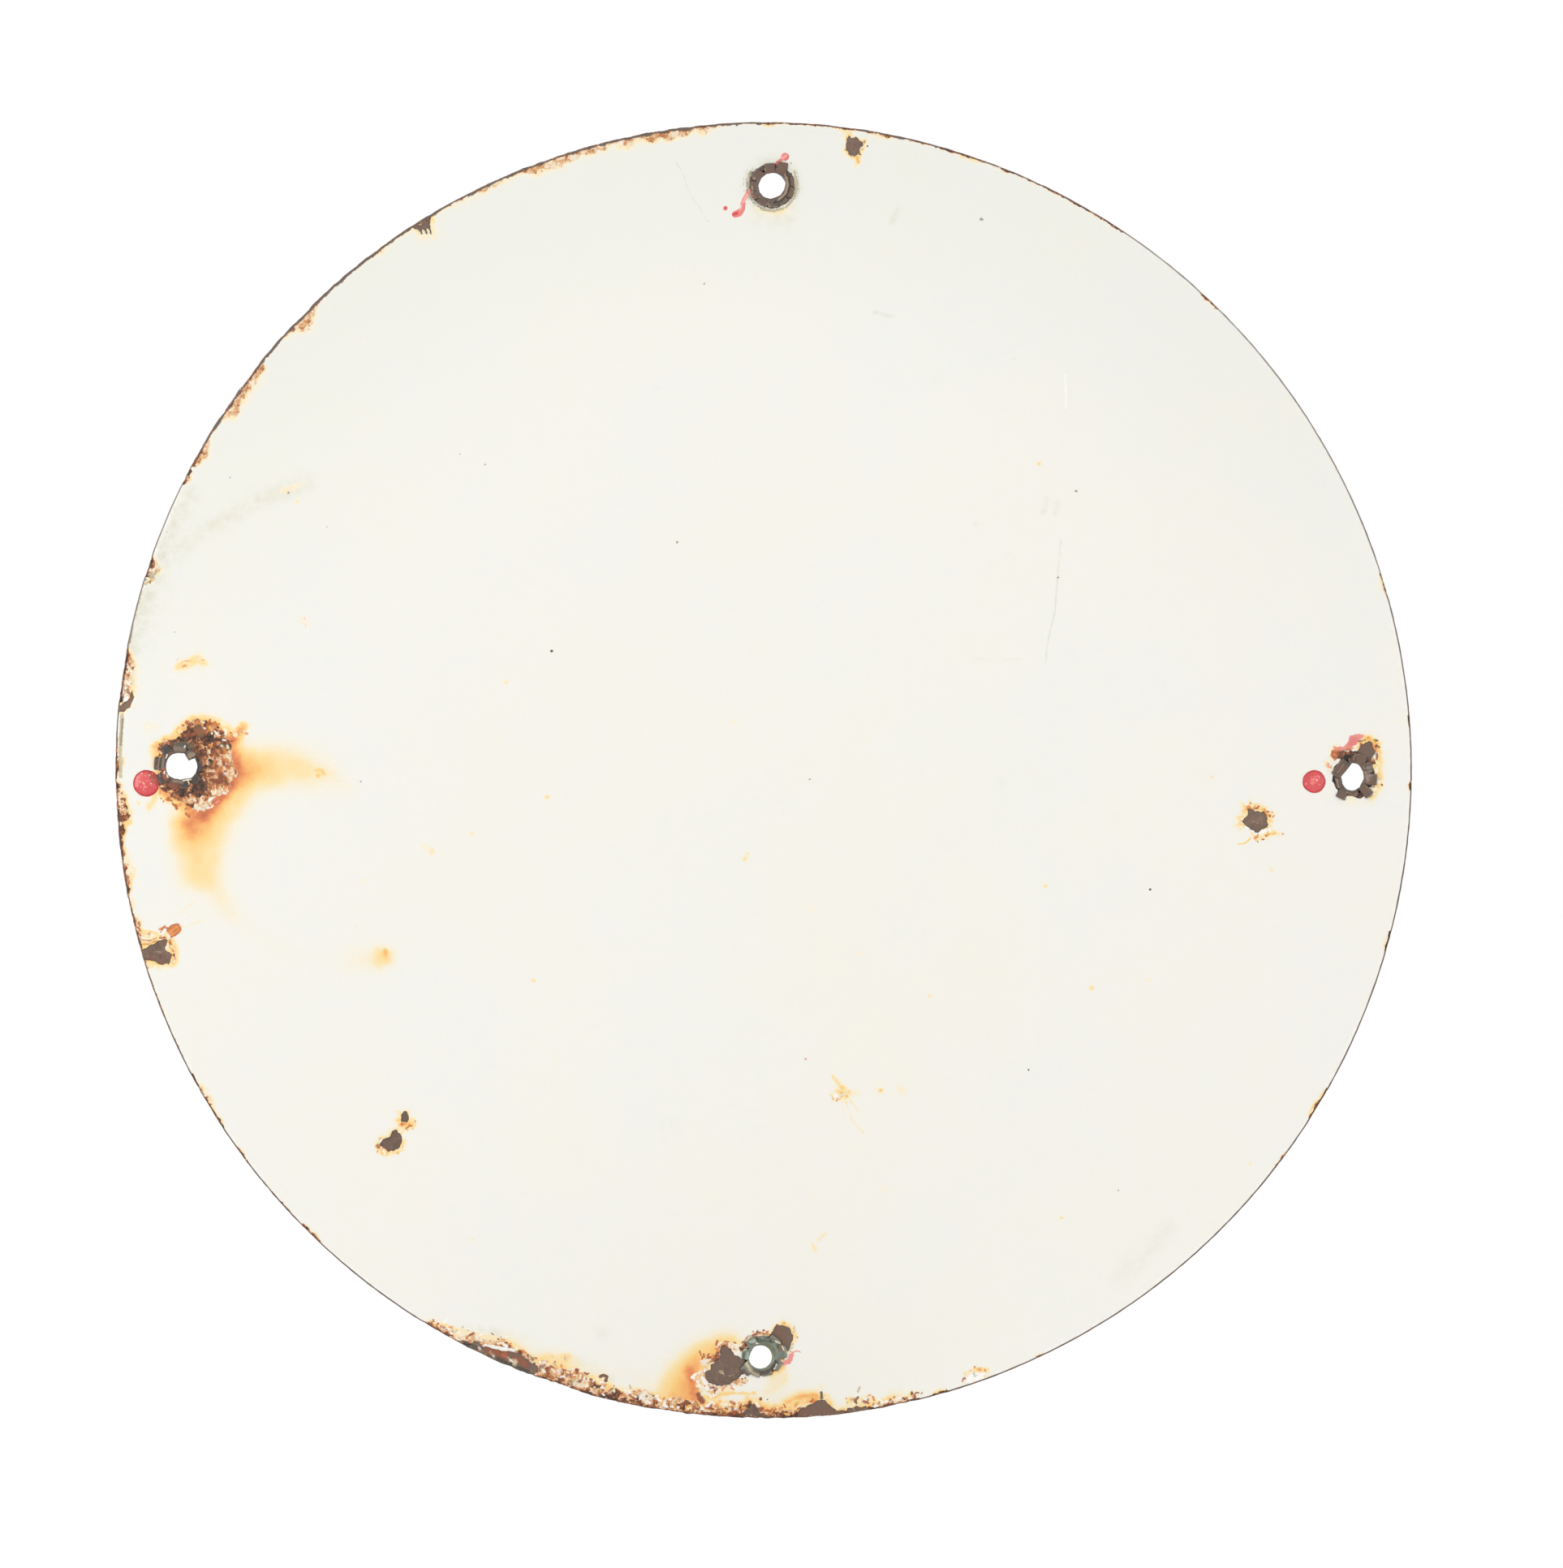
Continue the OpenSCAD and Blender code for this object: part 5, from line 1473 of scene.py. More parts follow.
GREEN_BRASS = weathered(
    "green_brass", [(0.0, (104, 110, 98)), (0.5, (134, 142, 126)), (1.0, (164, 168, 150))], 0.55,
    metallic=0.2, peel=0.03, edge="mint",
    stain_from=[(0.0, "verdigris"), (0.5, (112, 114, 102)), (1.0, (84, 84, 78))])
RED_STAIN = [(0.0, "red"), (0.5, (170, 70, 66)), (1.0, "red_brown")]
DROP_RED = weathered(
    "fired_red", [(0.0, (205, 74, 80)), (0.5, (224, 86, 90)), (1.0, (236, 104, 100))], 0.12,
    peel=0.03, edge="pink", stain_from=RED_STAIN)
RUN_RED = weathered(
    "thin_red", [(0.0, (226, 104, 104)), (0.5, (236, 122, 118)), (1.0, (243, 148, 140))], 0.14,
    peel=0.03, edge="pink", stain_from=RED_STAIN)

# The plate

# What each coat is made from
COAT = {"shrink": 0, "fine": 0.3, "crusty": 1, "wavy": 1, "more_holes": []}
BACK_COAT = {**COAT, "side": BACK, "chips": CHIPS, "marks": MARKS, "rim_share": 1.0}
FRONT_COAT = {**COAT, "side": FRONT, "chips": FRONT_CHIPS, "marks": FRONT_MARKS, "rim_share": 0.45}
IVORY_COAT = {"slot": "ivory_enamel", "material": IVORY, "top": COVER_FACE, "foot": GROUND_FACE}
GROUND_COAT = {"slot": "ground_enamel", "material": GROUND, "top": GROUND_FACE, "foot": STEEL_FACE,
               "marks": [], "fine": 0.6, "crusty": 0.2, "wavy": 0}
RED_COAT = {"slot": "red_enamel", "material": RED, "top": BORDER_FACE, "foot": COVER_FACE, "wavy": 0}
COATS = {
    "ivory_back": {**BACK_COAT, **IVORY_COAT, "node": "cover_coat_back",
                   "radius": COVER_R + 0.12, "wear": 0.32, "seed": 3, "shrink": -0.4},
    "ground_back": {**BACK_COAT, **GROUND_COAT, "node": "ground_coat_back",
                    "radius": GROUND_R + 0.05, "wear": 0.2, "seed": 4, "shrink": -0.3},
    "ivory_front": {**FRONT_COAT, **IVORY_COAT, "node": "cover_coat_front",
                    "radius": COVER_R - 0.1, "wear": 0.2, "seed": 5},
    "ground_front": {**FRONT_COAT, **GROUND_COAT, "node": "ground_coat_front",
                     "radius": GROUND_R - 0.1, "wear": 0.15, "seed": 6, "shrink": 0.3},
    "red_border": {**FRONT_COAT, **RED_COAT, "node": "border_coat_front",
                   "radius": BORDER_R - 0.1, "wear": 0.25, "seed": 7, "shrink": -0.15,
                   "more_holes": [circle(DISC, BORDER_R - BORDER_W, 0.6)]},
}


# A coat's wall under its face, as offsets and shares of its thickness, and the offset of its foot
COAT_WALL = [(0.07, 0.12), (0.13, 0.45)]
COAT_FOOT = 0.16

# Widest offset of the steel's rounded wall, and that wall from its back face to its front face, as
# offsets and heights
RIM_ROUND = 0.3
STEEL_WALL = [(0.13, 0.47), (0.24, 0.3), (RIM_ROUND, 0.0), (0.24, -0.3), (0.13, -0.5), (0.0, -STEEL_FACE)]


def coat_loops(spec):
    """A coat's outer outline, and the outlines of its holes and chips."""
    outer = worn_circle(spec["radius"], spec["wear"], spec["seed"])
    holes = [circle(place, COAT_HOLE_R, HOLE_STEP) for place in HOLES.values()] + spec["more_holes"]
    chips = [chip_outline(outline, spec["shrink"], 31 + 7 * k)
             for k, outline in enumerate(spec["chips"].values())]
    return outer, holes + chips


def coat_plate(spec, outer, openings):
    """Places and triangles of a coat, finest at its openings and marks."""
    features = mark_features(spec["marks"]) + loop_features(openings, 0.5, 0.3)
    points = scatter(spec["radius"] + 1, features, spec["seed"], spec["rim_share"], spec["fine"])
    points = points[from_centre(points) < spec["radius"] - 0.2]
    loops = [outer] + openings
    return triangulate(thin_out(points, loops, 0.2), loops)


def coat_height(spec, xz, triangles):
    """Height of a coat at each place, raised by crust and slightly wavy, but level at its border."""
    layers, _ = layers_at(xz, spec["marks"], spec["rim_share"])
    bumps = smooth(layers["crust"]) ** 2 * 0.45 * fractal(*xz.T, 1.0, 17)
    waves = 0.03 * (fractal(*xz.T, 30, 23) - 0.5)
    height = spec["top"] + bumps * spec["crusty"] + waves * spec["wavy"]
    height[np.unique(border_edges(triangles))] = spec["top"]
    return height


def coat_piece(name, spec):
    """One coat of enamel, from its outline, chips and marks to a mesh with its layers."""
    xz, triangles = coat_plate(spec, *coat_loops(spec))
    height = coat_height(spec, xz, triangles)
    thickness = spec["top"] - spec["foot"]
    wall = [(offset, spec["top"] - share * thickness) for offset, share in COAT_WALL]
    solid = slab(xz, triangles, height, [*wall, (COAT_FOOT, spec["foot"])], spec["side"])
    piece = add_piece(name, solid.verts, solid.faces, spec["material"], [spec["node"]])
    layers, paint = layers_at(solid.xz, spec["marks"], spec["rim_share"])
    store_layers(piece, layers, paint, smooth(solid.ring))


def steel_plate():
    """Places and triangles of the steel sheet, finest where it is bare."""
    outer = worn_circle(PLATE_R - RIM_ROUND, 0.14, 41)
    holes = [circle(place, COAT_HOLE_R, 0.4) for place in HOLES.values()]
    bare = [np.array(outline) for outline in CHIPS.values()]
    points = scatter(PLATE_R, loop_features(bare, 1.0, 0.35), 42, 0.6, 0.5)
    points = points[from_centre(points) < PLATE_R - 0.6]
    loops = [outer] + holes
    return triangulate(thin_out(points, loops, 0.25), loops)


def steel_layers(xz):
    """Layers of the bare steel: dark crust at the rim and patchy stain."""
    crust = 0.42 * rim_rust(turn_of(xz))[1] * smooth(2 - inward_of(xz))
    painted, paint = layers_at(xz, STEEL_MARKS, 0)
    patchy = 0.16 * smooth(fractal(*xz.T, 3, 44) * 2.4 - 0.9)
    stain = 1 - (1 - painted["stain"]) * (1 - patchy)
    none = np.zeros(len(xz))
    return {"stain": stain, "crust": crust, "char": none + 0.7, "grime": none}, paint


def steel_piece():
    """The steel sheet: its back face pitted where the enamel is gone, and its rim eaten by rust."""
    xz, triangles = steel_plate()
    height = STEEL_FACE - 0.1 * fractal(*xz.T, 1.4, 43)
    height[np.unique(border_edges(triangles))] = STEEL_FACE - 0.08
    solid = slab(xz, triangles, height, STEEL_WALL, BACK)
    solid.verts[:, [0, 2]] += rim_roughness(solid)
    piece = add_piece("steel_sheet", solid.verts, solid.faces, STEEL, ["steel_blank"])
    layers, paint = steel_layers(solid.xz)
    store_layers(piece, layers, paint, np.zeros(len(solid.xz)))


def rim_roughness(solid):
    """Small shifts that roughen the rim where it rusts."""
    outside = from_centre(solid.xz) > PLATE_R - 1
    strength = rim_rust(turn_of(solid.xz))[1]
    height = solid.verts[:, 1]
    shift = 0.22 * (fractal(solid.xz[:, 0] + 3 * height, solid.xz[:, 1], 0.9, 45) - 0.55)
    away = (solid.xz - DISC) / PLATE_R
    return away * (shift * outside * (0.15 + strength))[:, None]


for coat_name, coat_spec in COATS.items():
    coat_piece(coat_name, coat_spec)
steel_piece()

# Eyelets, each seen from the back and measured from its bore's centre

# Base and heading in degrees anticlockwise from the right, width, length past the lip, lift of the
# tip and taper
Tab = namedtuple("Tab", "base heading width length lift taper", defaults=(0.0, 0.06))

# Each eyelet's opening, the width of its lip, its bore in front and its tabs
EYELETS = {
    "top": {
        "opening": [(-3.2, 0), (-2.5, 1.7), (-1.3, 2.7), (0.4, 3.0), (2.1, 2.8), (2.95, 1.9), (3.2, 0.6),
                    (2.9, -0.9), (2.1, -2.1), (0.8, -2.8), (-0.5, -3.1), (-1.9, -2.6), (-2.9, -1.6)],
        "lip": 0.62, "front_shift": (0, 0), "front_r": BORE_R, "wall": "dark",
        "tabs": [Tab(98, 97, 2.7, 2.35, 0.05), Tab(56, 80, 2.8, 2.75, 0.12, 0.02),
                 Tab(146, 142, 2.9, 2.3, 0.15, 0.1), Tab(180, 180, 2.4, 1.7),
                 Tab(208, 206, 2.6, 1.9, 0, 0.2), Tab(238, 244, 3.0, 2.0, 0.05), Tab(274, 274, 2.8, 2.1),
                 Tab(306, 302, 2.8, 2.0), Tab(342, 338, 2.8, 2.2, -0.05, 0.15),
                 Tab(14, 12, 2.8, 1.7, -0.05, 0.15)],
    },
    "right": {
        "opening": [(0.25, 3.75), (-0.7, 2.5), (-1.7, 1.2), (-2.75, -0.1), (-2.35, -1.8), (-1.4, -2.95),
                    (0.1, -3.5), (1.6, -2.4), (2.6, -0.4), (2.4, 1.1), (1.5, 2.6)],
        "lip": 0.3, "front_shift": (0, 0), "front_r": BORE_R, "wall": "dark",
        "tabs": [Tab(152, 140, 4.6, 2.5, 0.15, 0.03), Tab(66, 74, 3.4, 2.3, 0.12),
                 Tab(92, 96, 1.8, 1.6, -0.1), Tab(30, 28, 2.8, 2.6, -0.05, 0.1),
                 Tab(-14, -2, 2.7, 3.1, 0.08, 0.02), Tab(-46, -50, 2.2, 3.4, 0.12, 0.02),
                 Tab(-88, -90, 2.6, 1.1, -0.1, 0.2), Tab(-122, -116, 2.3, 2.9, 0.14, 0.02),
                 Tab(200, 194, 3.6, 1.5, 0.1)],
    },
    "bottom": {
        "opening": [(-3.1, -0.6), (-2.6, 1.2), (-1.6, 2.9), (-0.4, 3.4), (1.4, 3.5), (3.2, 1.9),
                    (3.35, 0.5), (2.8, -1.2), (1.4, -2.5), (0, -2.75), (-1.4, -2.4), (-2.6, -1.8)],
        "lip": 0.3, "front_shift": (-0.36, -0.02), "front_r": 2.72, "wall": (126, 134, 110),
        "tabs": [Tab(172, 176, 2.8, 1.9, 0.05, 0.1), Tab(128, 128, 2.8, 2.1, 0.12, 0.1),
                 Tab(90, 94, 3.0, 1.7, 0.05), Tab(52, 52, 3.2, 2.2, 0.05, 0.1),
                 Tab(14, 8, 3.2, 2.5, 0.1, 0.1), Tab(-30, -34, 2.8, 1.9, 0, 0.1),
                 Tab(-74, -80, 3.0, 1.7, 0, 0.15), Tab(-110, -112, 2.6, 2.0, 0, 0.15),
                 Tab(-140, -136, 2.8, 2.4, 0.12, 0.1)],
    },
    "left": {
        "opening": [(-3.7, 0), (-3.25, 1.9), (-1.9, 2.9), (-0.6, 3.15), (0.85, 3.05), (1.26, 2.2),
                    (1.85, 1.36), (2.55, 1.8), (3.2, 2.0), (3.7, 1.0), (3.85, -0.2), (3.5, -1.5),
                    (2.5, -2.6), (1.3, -2.8), (0, -3.05), (-1.5, -2.8), (-2.95, -2.1), (-3.6, -1.0)],
        "lip": 0.5, "front_shift": (0.05, 0), "front_r": 3.75, "wall": "dark",
        "tabs": [Tab(134, 130, 2.5, 2.9, 0.25, 0.25), Tab(96, 92, 3.4, 2.6, 0.1, 0.1),
                 Tab(52, 55, 2.4, 2.2, 0, 0.15), Tab(172, 176, 3.2, 2.7, 0, 0.1),
                 Tab(214, 208, 2.8, 2.6, 0, 0.2), Tab(248, 246, 2.6, 2.5, 0.1, 0.1),
                 Tab(280, 280, 2.8, 2.2, 0, 0.1), Tab(318, 318, 2.6, 1.9, 0.05, 0.2),
                 Tab(0, 0, 2.8, 1.2, 0.1, 0.2)],
    },
}

# Painted marks on each eyelet, laid over each other in this order: patina, rust and red enamel, and also
# painted light, with black and dark lines as painted shadow in slits and bends and pale lines and specks as
# painted highlights
EYELET_MARKS = {
    # Pale brass_tan lines are painted highlights on the lip and tab edges, black lines painted shadow in
    # the bend and slits; red_brown and red are rust and red enamel
    "top": [Mark("brass_tan", 0.2, [(3.1, 2.6), (3.75, 0.2), (3.2, -1.9), (2.0, -3.1)], 0.8, 0.5),
             Mark("black", 0.18, [(4.0, 2.2), (4.25, 0), (3.6, -2), (2.2, -3.5), (0.4, -4.1)], 0.85, 0.5),
             Mark("brass_tan", 0.22, [(3.2, 2.4), (3.6, 0.2), (3.1, -1.9), (1.6, -3.3)], 0.8, 0.5),
             Mark("brass_tan", 0.2, [(-4.4, 1.4), (-4.1, 1.8)], 0.9, 0.5),
             Mark("brass_tan", 0.22, [(-2.2, 4.1), (-1.8, 3.6)], 0.9, 0.5),
             Mark("black", 0.16, [(-2.6, 4.6), (-2.3, 3.7), (-1.7, 3.3)], 0.8, 0.5),
             Mark("black", 0.18, [(1.1, 4.9), (1.1, 4.2)], 0.9, 0.5),
             Mark("brass_tan", 0.3, [(-4.6, -0.4), (-4.7, -1.6)], 0.6, 0.8),
             Mark("brass_tan", 0.25, [(-0.9, -4.3), (-0.4, -4.9)], 0.5, 0.8),
             Mark("red_brown", 0.6, [(-4.1, -2.4)], 0.4, 0.8),
             Mark("red", 0.35, [(0.8, 5), (1.2, 5.2)], 0.5, 0.8)],
    # Black lines are painted shadow in the slits between tabs, pale brass_tan lines painted highlights on
    # tab edges; red_brown and verdigris are rust and patina
    "right": [Mark("black", 0.28, [(-0.7, 4.7), (-0.1, 3.7)], 0.9, 0.5),
              Mark("brass_tan", 0.12, [(-3.8, 0.7), (-2.2, 2.9)], 0.5, 0.7),
              Mark("brass_tan", 0.16, [(-3.8, -0.4), (-3.2, -2.8)], 0.6, 0.6),
              Mark("red_brown", 0.3, [(-0.3, 4.2), (0.3, 3.3)], 0.5, 0.7),
              Mark("brass_tan", 0.25, [(2.4, 2.4), (3.2, 0.5), (3.4, -0.6)], 0.35, 0.8),
              Mark((152, 134, 122), 0.9, [(3.7, 1.4), (3.6, -0.6)], 0.5, 0.9),
              Mark("black", 0.14, [(2.6, 1.4), (4.6, 1.9)], 0.8, 0.5),
              Mark("black", 0.14, [(2.7, -1.6), (4.4, -2.2)], 0.8, 0.5),
              Mark("black", 0.14, [(-3.0, -0.4), (-4.6, -0.2)], 0.9, 0.5),
              Mark("verdigris", 0.7, [(3.9, 2.1)], 0.4, 0.8),
              Mark("brass_tan", 0.14, [(-1.6, -3.6), (0.1, -4.1), (1.4, -3.8)], 0.4, 0.7)],
    # Cream lines are painted highlights on the lip and tab edges, black and dark green lines painted shadow
    # in the slits and the bend; verdigris, red_brown and tan are patina and rust
    "bottom": [Mark("cream", 0.13, [(-1.4, 3.3), (0.8, 3.4), (2.0, 2.8), (3.0, 1.6), (3.1, 0.4),
                                    (2.7, -0.8)], 0.9, 0.5),
               Mark("cream", 0.12, [(0, 4.5), (3, 4), (4.6, 3.3), (5.2, 1.8)], 0.85, 0.5),
               Mark("cream", 0.12, [(3.5, -1.4), (3.1, -2.4), (2, -3.4)], 0.8, 0.5),
               Mark("cream", 0.12, [(-4.6, 1.2), (-3.8, 2.0)], 0.6, 0.5),
               Mark("mint", 0.5, [(-3.5, 0.9), (-3.4, 0)], 0.8, 0.7),
               Mark("mint", 0.5, [(-2.7, 3.5), (-1.7, 3.9)], 0.7, 0.8),
               Mark((78, 84, 76), 0.2, [(-3.2, 3.4), (-2.5, 3.1), (-1.6, 3.3)], 0.8, 0.6),
               Mark((86, 96, 88), 0.7, [(-4.5, 0.3), (-4.3, 1)], 0.8, 0.7),
               Mark((84, 90, 80), 0.5, [(-0.8, 4), (1, 4.3), (2.6, 3.9)], 0.85, 0.6),
               Mark((88, 96, 86), 0.5, [(3.8, 2.8), (4.7, 1.2), (4.7, 0)], 0.75, 0.7),
               Mark((58, 58, 52), 0.34, [(3.3, -0.8), (2.9, -1.9), (2.1, -2.9), (0.8, -3.5), (-0.8, -3.4),
                                         (-1.8, -3)], 0.9, 0.5),
               Mark("black", 0.22, [(-3.4, 2.5), (-3.3, 2.2)], 1, 0.5),
               Mark("black", 0.2, [(-1.1, 4.6), (-1.1, 4.2)], 1, 0.5),
               Mark("black", 0.2, [(2, 4.2), (2.1, 3.9)], 0.9, 0.5),
               Mark("black", 0.26, [(3.5, -1), (3.9, -1.2)], 1, 0.5),
               Mark("dark", 0.3, [(3, -1.4), (2, -2.9), (0.8, -3.5)], 0.7, 0.6),
               Mark("red_brown", 0.35, [(4.3, 2)], 0.8, 0.5),
               Mark("verdigris", 0.8, [(4.5, 0.9), (4.4, -0.6)], 0.7, 0.7),
               Mark("tan", 0.5, [(-3.5, -1.4), (-2.6, -3), (-1, -4)], 0.55, 0.8),
               Mark("brass_dark", 0.8, [(-4.3, -3.4), (-3.5, -4.6)], 0.7, 0.6),
               Mark("brass_dark", 0.5, [(-1.6, -3.2), (0, -3.7), (1.2, -3.6)], 0.5, 0.7)],
    # White specks are painted glints on the dark glossy metal, pale brass_tan lines painted highlights on
    # edges, black lines painted shadow in slits; rust and red_brown are corrosion
    "left": [Mark((66, 58, 53), 1.7, [(-2.6, 4.6), (-4.8, 2.2), (-5, -1.6), (-3.4, -4.4), (0, -4.6),
                                      (3.4, -3.6), (4.6, -0.4), (3.4, 3.4), (0, 4.6)], 0.62, 1.0),
             Mark("brass_tan", 0.16, [(-4.9, 2.4), (-5.4, 0), (-4.9, -2.4)], 0.5, 0.8),
             Mark("brass_tan", 0.25, [(-4.1, 2.0), (-4.3, -0.6)], 0.5, 0.8),
             Mark("rust", 0.5, [(-4.0, -0.8), (-3.6, -2.6)], 0.5, 0.8),
             Mark("white", 0.16, [(-3.8, -1.2), (-3.9, -1.6)], 0.9, 0.5),
             Mark("white", 0.12, [(-3.2, -1.8), (-3.0, -2.6)], 0.9, 0.5),
             Mark("white", 0.14, [(-3.5, 2.0), (-3.2, 2.8)], 0.8, 0.5),
             Mark("black", 0.3, [(-1.9, 4.4), (-1.8, 3.8)], 0.9, 0.5),
             Mark("olive", 1.2, [(-0.4, 4.6), (1.0, 4.7)], 0.36, 0.8),
             Mark((150, 126, 112), 0.5, [(-1.6, 4.3), (0.6, 4.0)], 0.5, 0.9),
             Mark("brass_tan", 0.7, [(2.3, 2.6), (3.6, 2.9)], 0.7, 0.7),
             Mark("white", 0.14, [(1.0, 4.9), (0.8, 4.5)], 0.9, 0.5),
             Mark("red_brown", 0.9, [(-2.9, -4.6), (-1, -5)], 0.6, 0.8),
             Mark("cream", 0.14, [(0.6, -3.3), (1.6, -3.1), (2.4, -3)], 0.9, 0.6),
             Mark("cream", 0.12, [(1.7, -3.2), (2, -4.1)], 0.8, 0.6),
             Mark("brass_tan", 0.3, [(-1.6, -3.4), (0.4, -3.7)], 0.5, 0.8)],
}
# Thickness of the sheet, height of the lip over the middle of the steel, and points round a barrel
SHEET = 0.3
LIP_H = 1.28
AROUND = 168
TURNS = np.linspace(0, 2 * math.pi, AROUND, endpoint=False)

# Rows of the barrel, from and up to, that line the bore
BORE_ROWS = (3, 8)

# Rows from a tab's lip to its tip as shares of its length, and points across it as shares of its width
TAB_ROWS = np.concatenate([[0.0, 0.04, 0.09, 0.15], np.linspace(0.22, 0.9, 11), [0.95, 0.98, 1.0]])
TAB_COLUMNS = np.linspace(-0.5, 0.5, 21)


def opening_radius(points):
    """Middle of an opening's outline, and its radius about that at every turn."""
    points = resample(np.array(points, float), 0.08)
    middle = (points.max(0) + points.min(0)) / 2
    away = points - middle
    turns = np.arctan2(away[:, 1], away[:, 0])
    order = np.argsort(turns)
    found = np.interp(TURNS, turns[order], length(away)[order], period=2 * math.pi)
    return middle, eased(found)


def barrel_rows(lip):
    """Offset from the bore, height and share of the crushed shape, from the lip round to the lip."""
    inner = [(lip * 0.5, LIP_H, 1), (lip * 0.25, LIP_H - 0.04, 1), (0.05, LIP_H - 0.14, 1),
             (0, LIP_H - 0.3, 1), (0, 0.6, 0.8), (0, 0.2, 0.5), (0, -0.3, 0.25), (0, -0.8, 0.06),
             (0, -1.3, 0)]
    roll = [(0.1, -1.62, 0), (0.35, -1.84, 0), (0.75, -1.96, 0), (1.25, -2.0, 0), (1.8, -1.97, 0),
            (2.3, -1.86, 0), (2.68, -1.66, 0), (2.9, -1.4, 0), (2.93, -1.16, 0), (2.8, -1.02, 0)]
    outer = [(1.6, -1.0, 0), (0.46, -1.0, 0), (0.44, -0.5, 0.3), (0.44, 0.1, 0.65), (0.44, 0.7, 0.95),
             (max(lip, 0.44), LIP_H - 0.32, 1), (max(lip * 0.96, 0.42), LIP_H - 0.14, 1),
             (lip * 0.75, LIP_H - 0.03, 1)]
    return inner + roll + outer


def band(here, there, count):
    """Faces between two rings of points, from the index of each ring's first point."""
    return [[here + k, here + (k + 1) % count, there + (k + 1) % count, there + k] for k in range(count)]


def barrel(spec):
    """The eyelet's barrel, crushed at the back and rolled over the front."""
    middle, radii = opening_radius(spec["opening"])
    ray = rays(TURNS)
    back = middle + ray * radii[:, None]
    front = np.array(spec["front_shift"]) + ray * spec["front_r"]
    verts, edge, faces = [], [], []
    rows = barrel_rows(spec["lip"])
    for number, (offset, height, share) in enumerate(rows):
        wall = front * (1 - share) + back * share
        ring = wall + ray * (offset + (BORE_R - spec["front_r"]) * (1 - share) * min(offset, 1))
        verts.append(np.column_stack([ring[:, 0], np.full(AROUND, -height), ring[:, 1]]))
        # Painted highlight along the top of the rolled lip, kept as the paler edge
        edge.append(np.full(AROUND, smooth((height - LIP_H + 0.2) * 5)))
        faces += band(number * AROUND, (number + 1) % len(rows) * AROUND, AROUND)
    return np.concatenate(verts), faces, 0.5 * np.concatenate(edge)


TabLie = namedtuple("TabLie", "middle radii foot along across")


def lie_of(spec, tab):
    """The opening's middle and radii, a tab's foot on its edge, and the directions along and across it."""
    middle, radii = opening_radius(spec["opening"])
    base = math.radians(tab.base)
    foot = middle + np.interp(base, TURNS, radii, period=2 * math.pi) * unit(base)
    along = unit(math.radians(tab.heading))
    return TabLie(middle, radii, foot, along, np.array([-along[1], along[0]]))


def tab_places(lie, tab, row):
    """Places across a tab at one of its rows."""
    side = TAB_COLUMNS * tab.width * (1 - tab.taper * row ** 2)
    root = lie.foot + lie.across * (TAB_COLUMNS * tab.width)[:, None]
    turn = np.arctan2(*(root - lie.middle).T[::-1])
    lip_r = np.interp(turn, TURNS, lie.radii, period=2 * math.pi)
    start = lie.middle + lip_r[:, None] * rays(turn)
    slide = (start - lie.foot) @ lie.along
    round_off = 0.22 * (np.abs(TAB_COLUMNS) * 2) ** 4 * row
    forward = slide * (1 - row) + 0.12 + (tab.length - 0.1) * row - round_off * 0.6
    return lie.foot + lie.across * side[:, None] + lie.along * forward[:, None]


def tab_height(tab, row):
    """Heights across a tab at one of its rows: bent off the lip, lifted and slightly crowned."""
    rise = LIP_H + 0.05 - 0.16 * smooth(row * 3) + tab.lift * row + 0.03 * math.cos(9 * row + tab.base)
    wide = np.abs(TAB_COLUMNS)
    crown = 0.1 * (1 - np.abs(2 * TAB_COLUMNS) ** 3) - 0.05 * (wide > 0.49) - 0.06 * (row > 0.99)
    return rise + crown


def tab_shape(spec, tab):
    """One clinched tab: a strip of sheet that bends off the lip and lies on the enamel."""
    lie = lie_of(spec, tab)
    verts, edge = [], []
    for layer in (0, 1):
        for row in TAB_ROWS:
            place = tab_places(lie, tab, row)
            height = tab_height(tab, row) - layer * (SHEET - 0.02)
            verts.append(np.column_stack([place[:, 0], -height, place[:, 1]]))
            # Painted highlight along the upper sheet's sides and tip, kept as the paler edge
            edge.append(((np.abs(TAB_COLUMNS) > 0.42) | (row > 0.9)) * (1.0 - layer))
    faces = strip_faces(len(TAB_COLUMNS), len(TAB_ROWS))
    return np.concatenate(verts), faces, 0.55 * np.concatenate(edge)


def strip_faces(wide, long):
    """Faces of a closed strip, whose upper points come first, row by row, and then its lower ones."""
    faces, under = [], wide * long
    for i in range(long - 1):
        for j in range(wide - 1):
            a, b = i * wide + j, i * wide + j + 1
            c, d = a + wide, b + wide
            faces.append([c, d, b, a])
            faces.append([under + a, under + b, under + d, under + c])
    rim = ([(0, j) for j in range(wide)] + [(i, wide - 1) for i in range(1, long)]
           + [(long - 1, j) for j in range(wide - 2, -1, -1)] + [(i, 0) for i in range(long - 2, 0, -1)])
    loop = [i * wide + j for i, j in rim]
    return faces + [[a, b, under + b, under + a] for a, b in zip(loop, loop[1:] + loop[:1])]


def tab_outline(spec, tab):
    """Where the two sides and the tip of a tab lie, as lines."""
    lie = lie_of(spec, tab)
    half = lie.across * tab.width / 2
    tip = lie.foot + lie.along * (tab.length - 0.02)
    narrow = half * (1 - tab.taper)
    left = [lie.foot + half + lie.along * 0.5, tip + narrow]
    right = [lie.foot - half + lie.along * 0.5, tip - narrow]
    return left, right, [tip + narrow, tip - narrow]


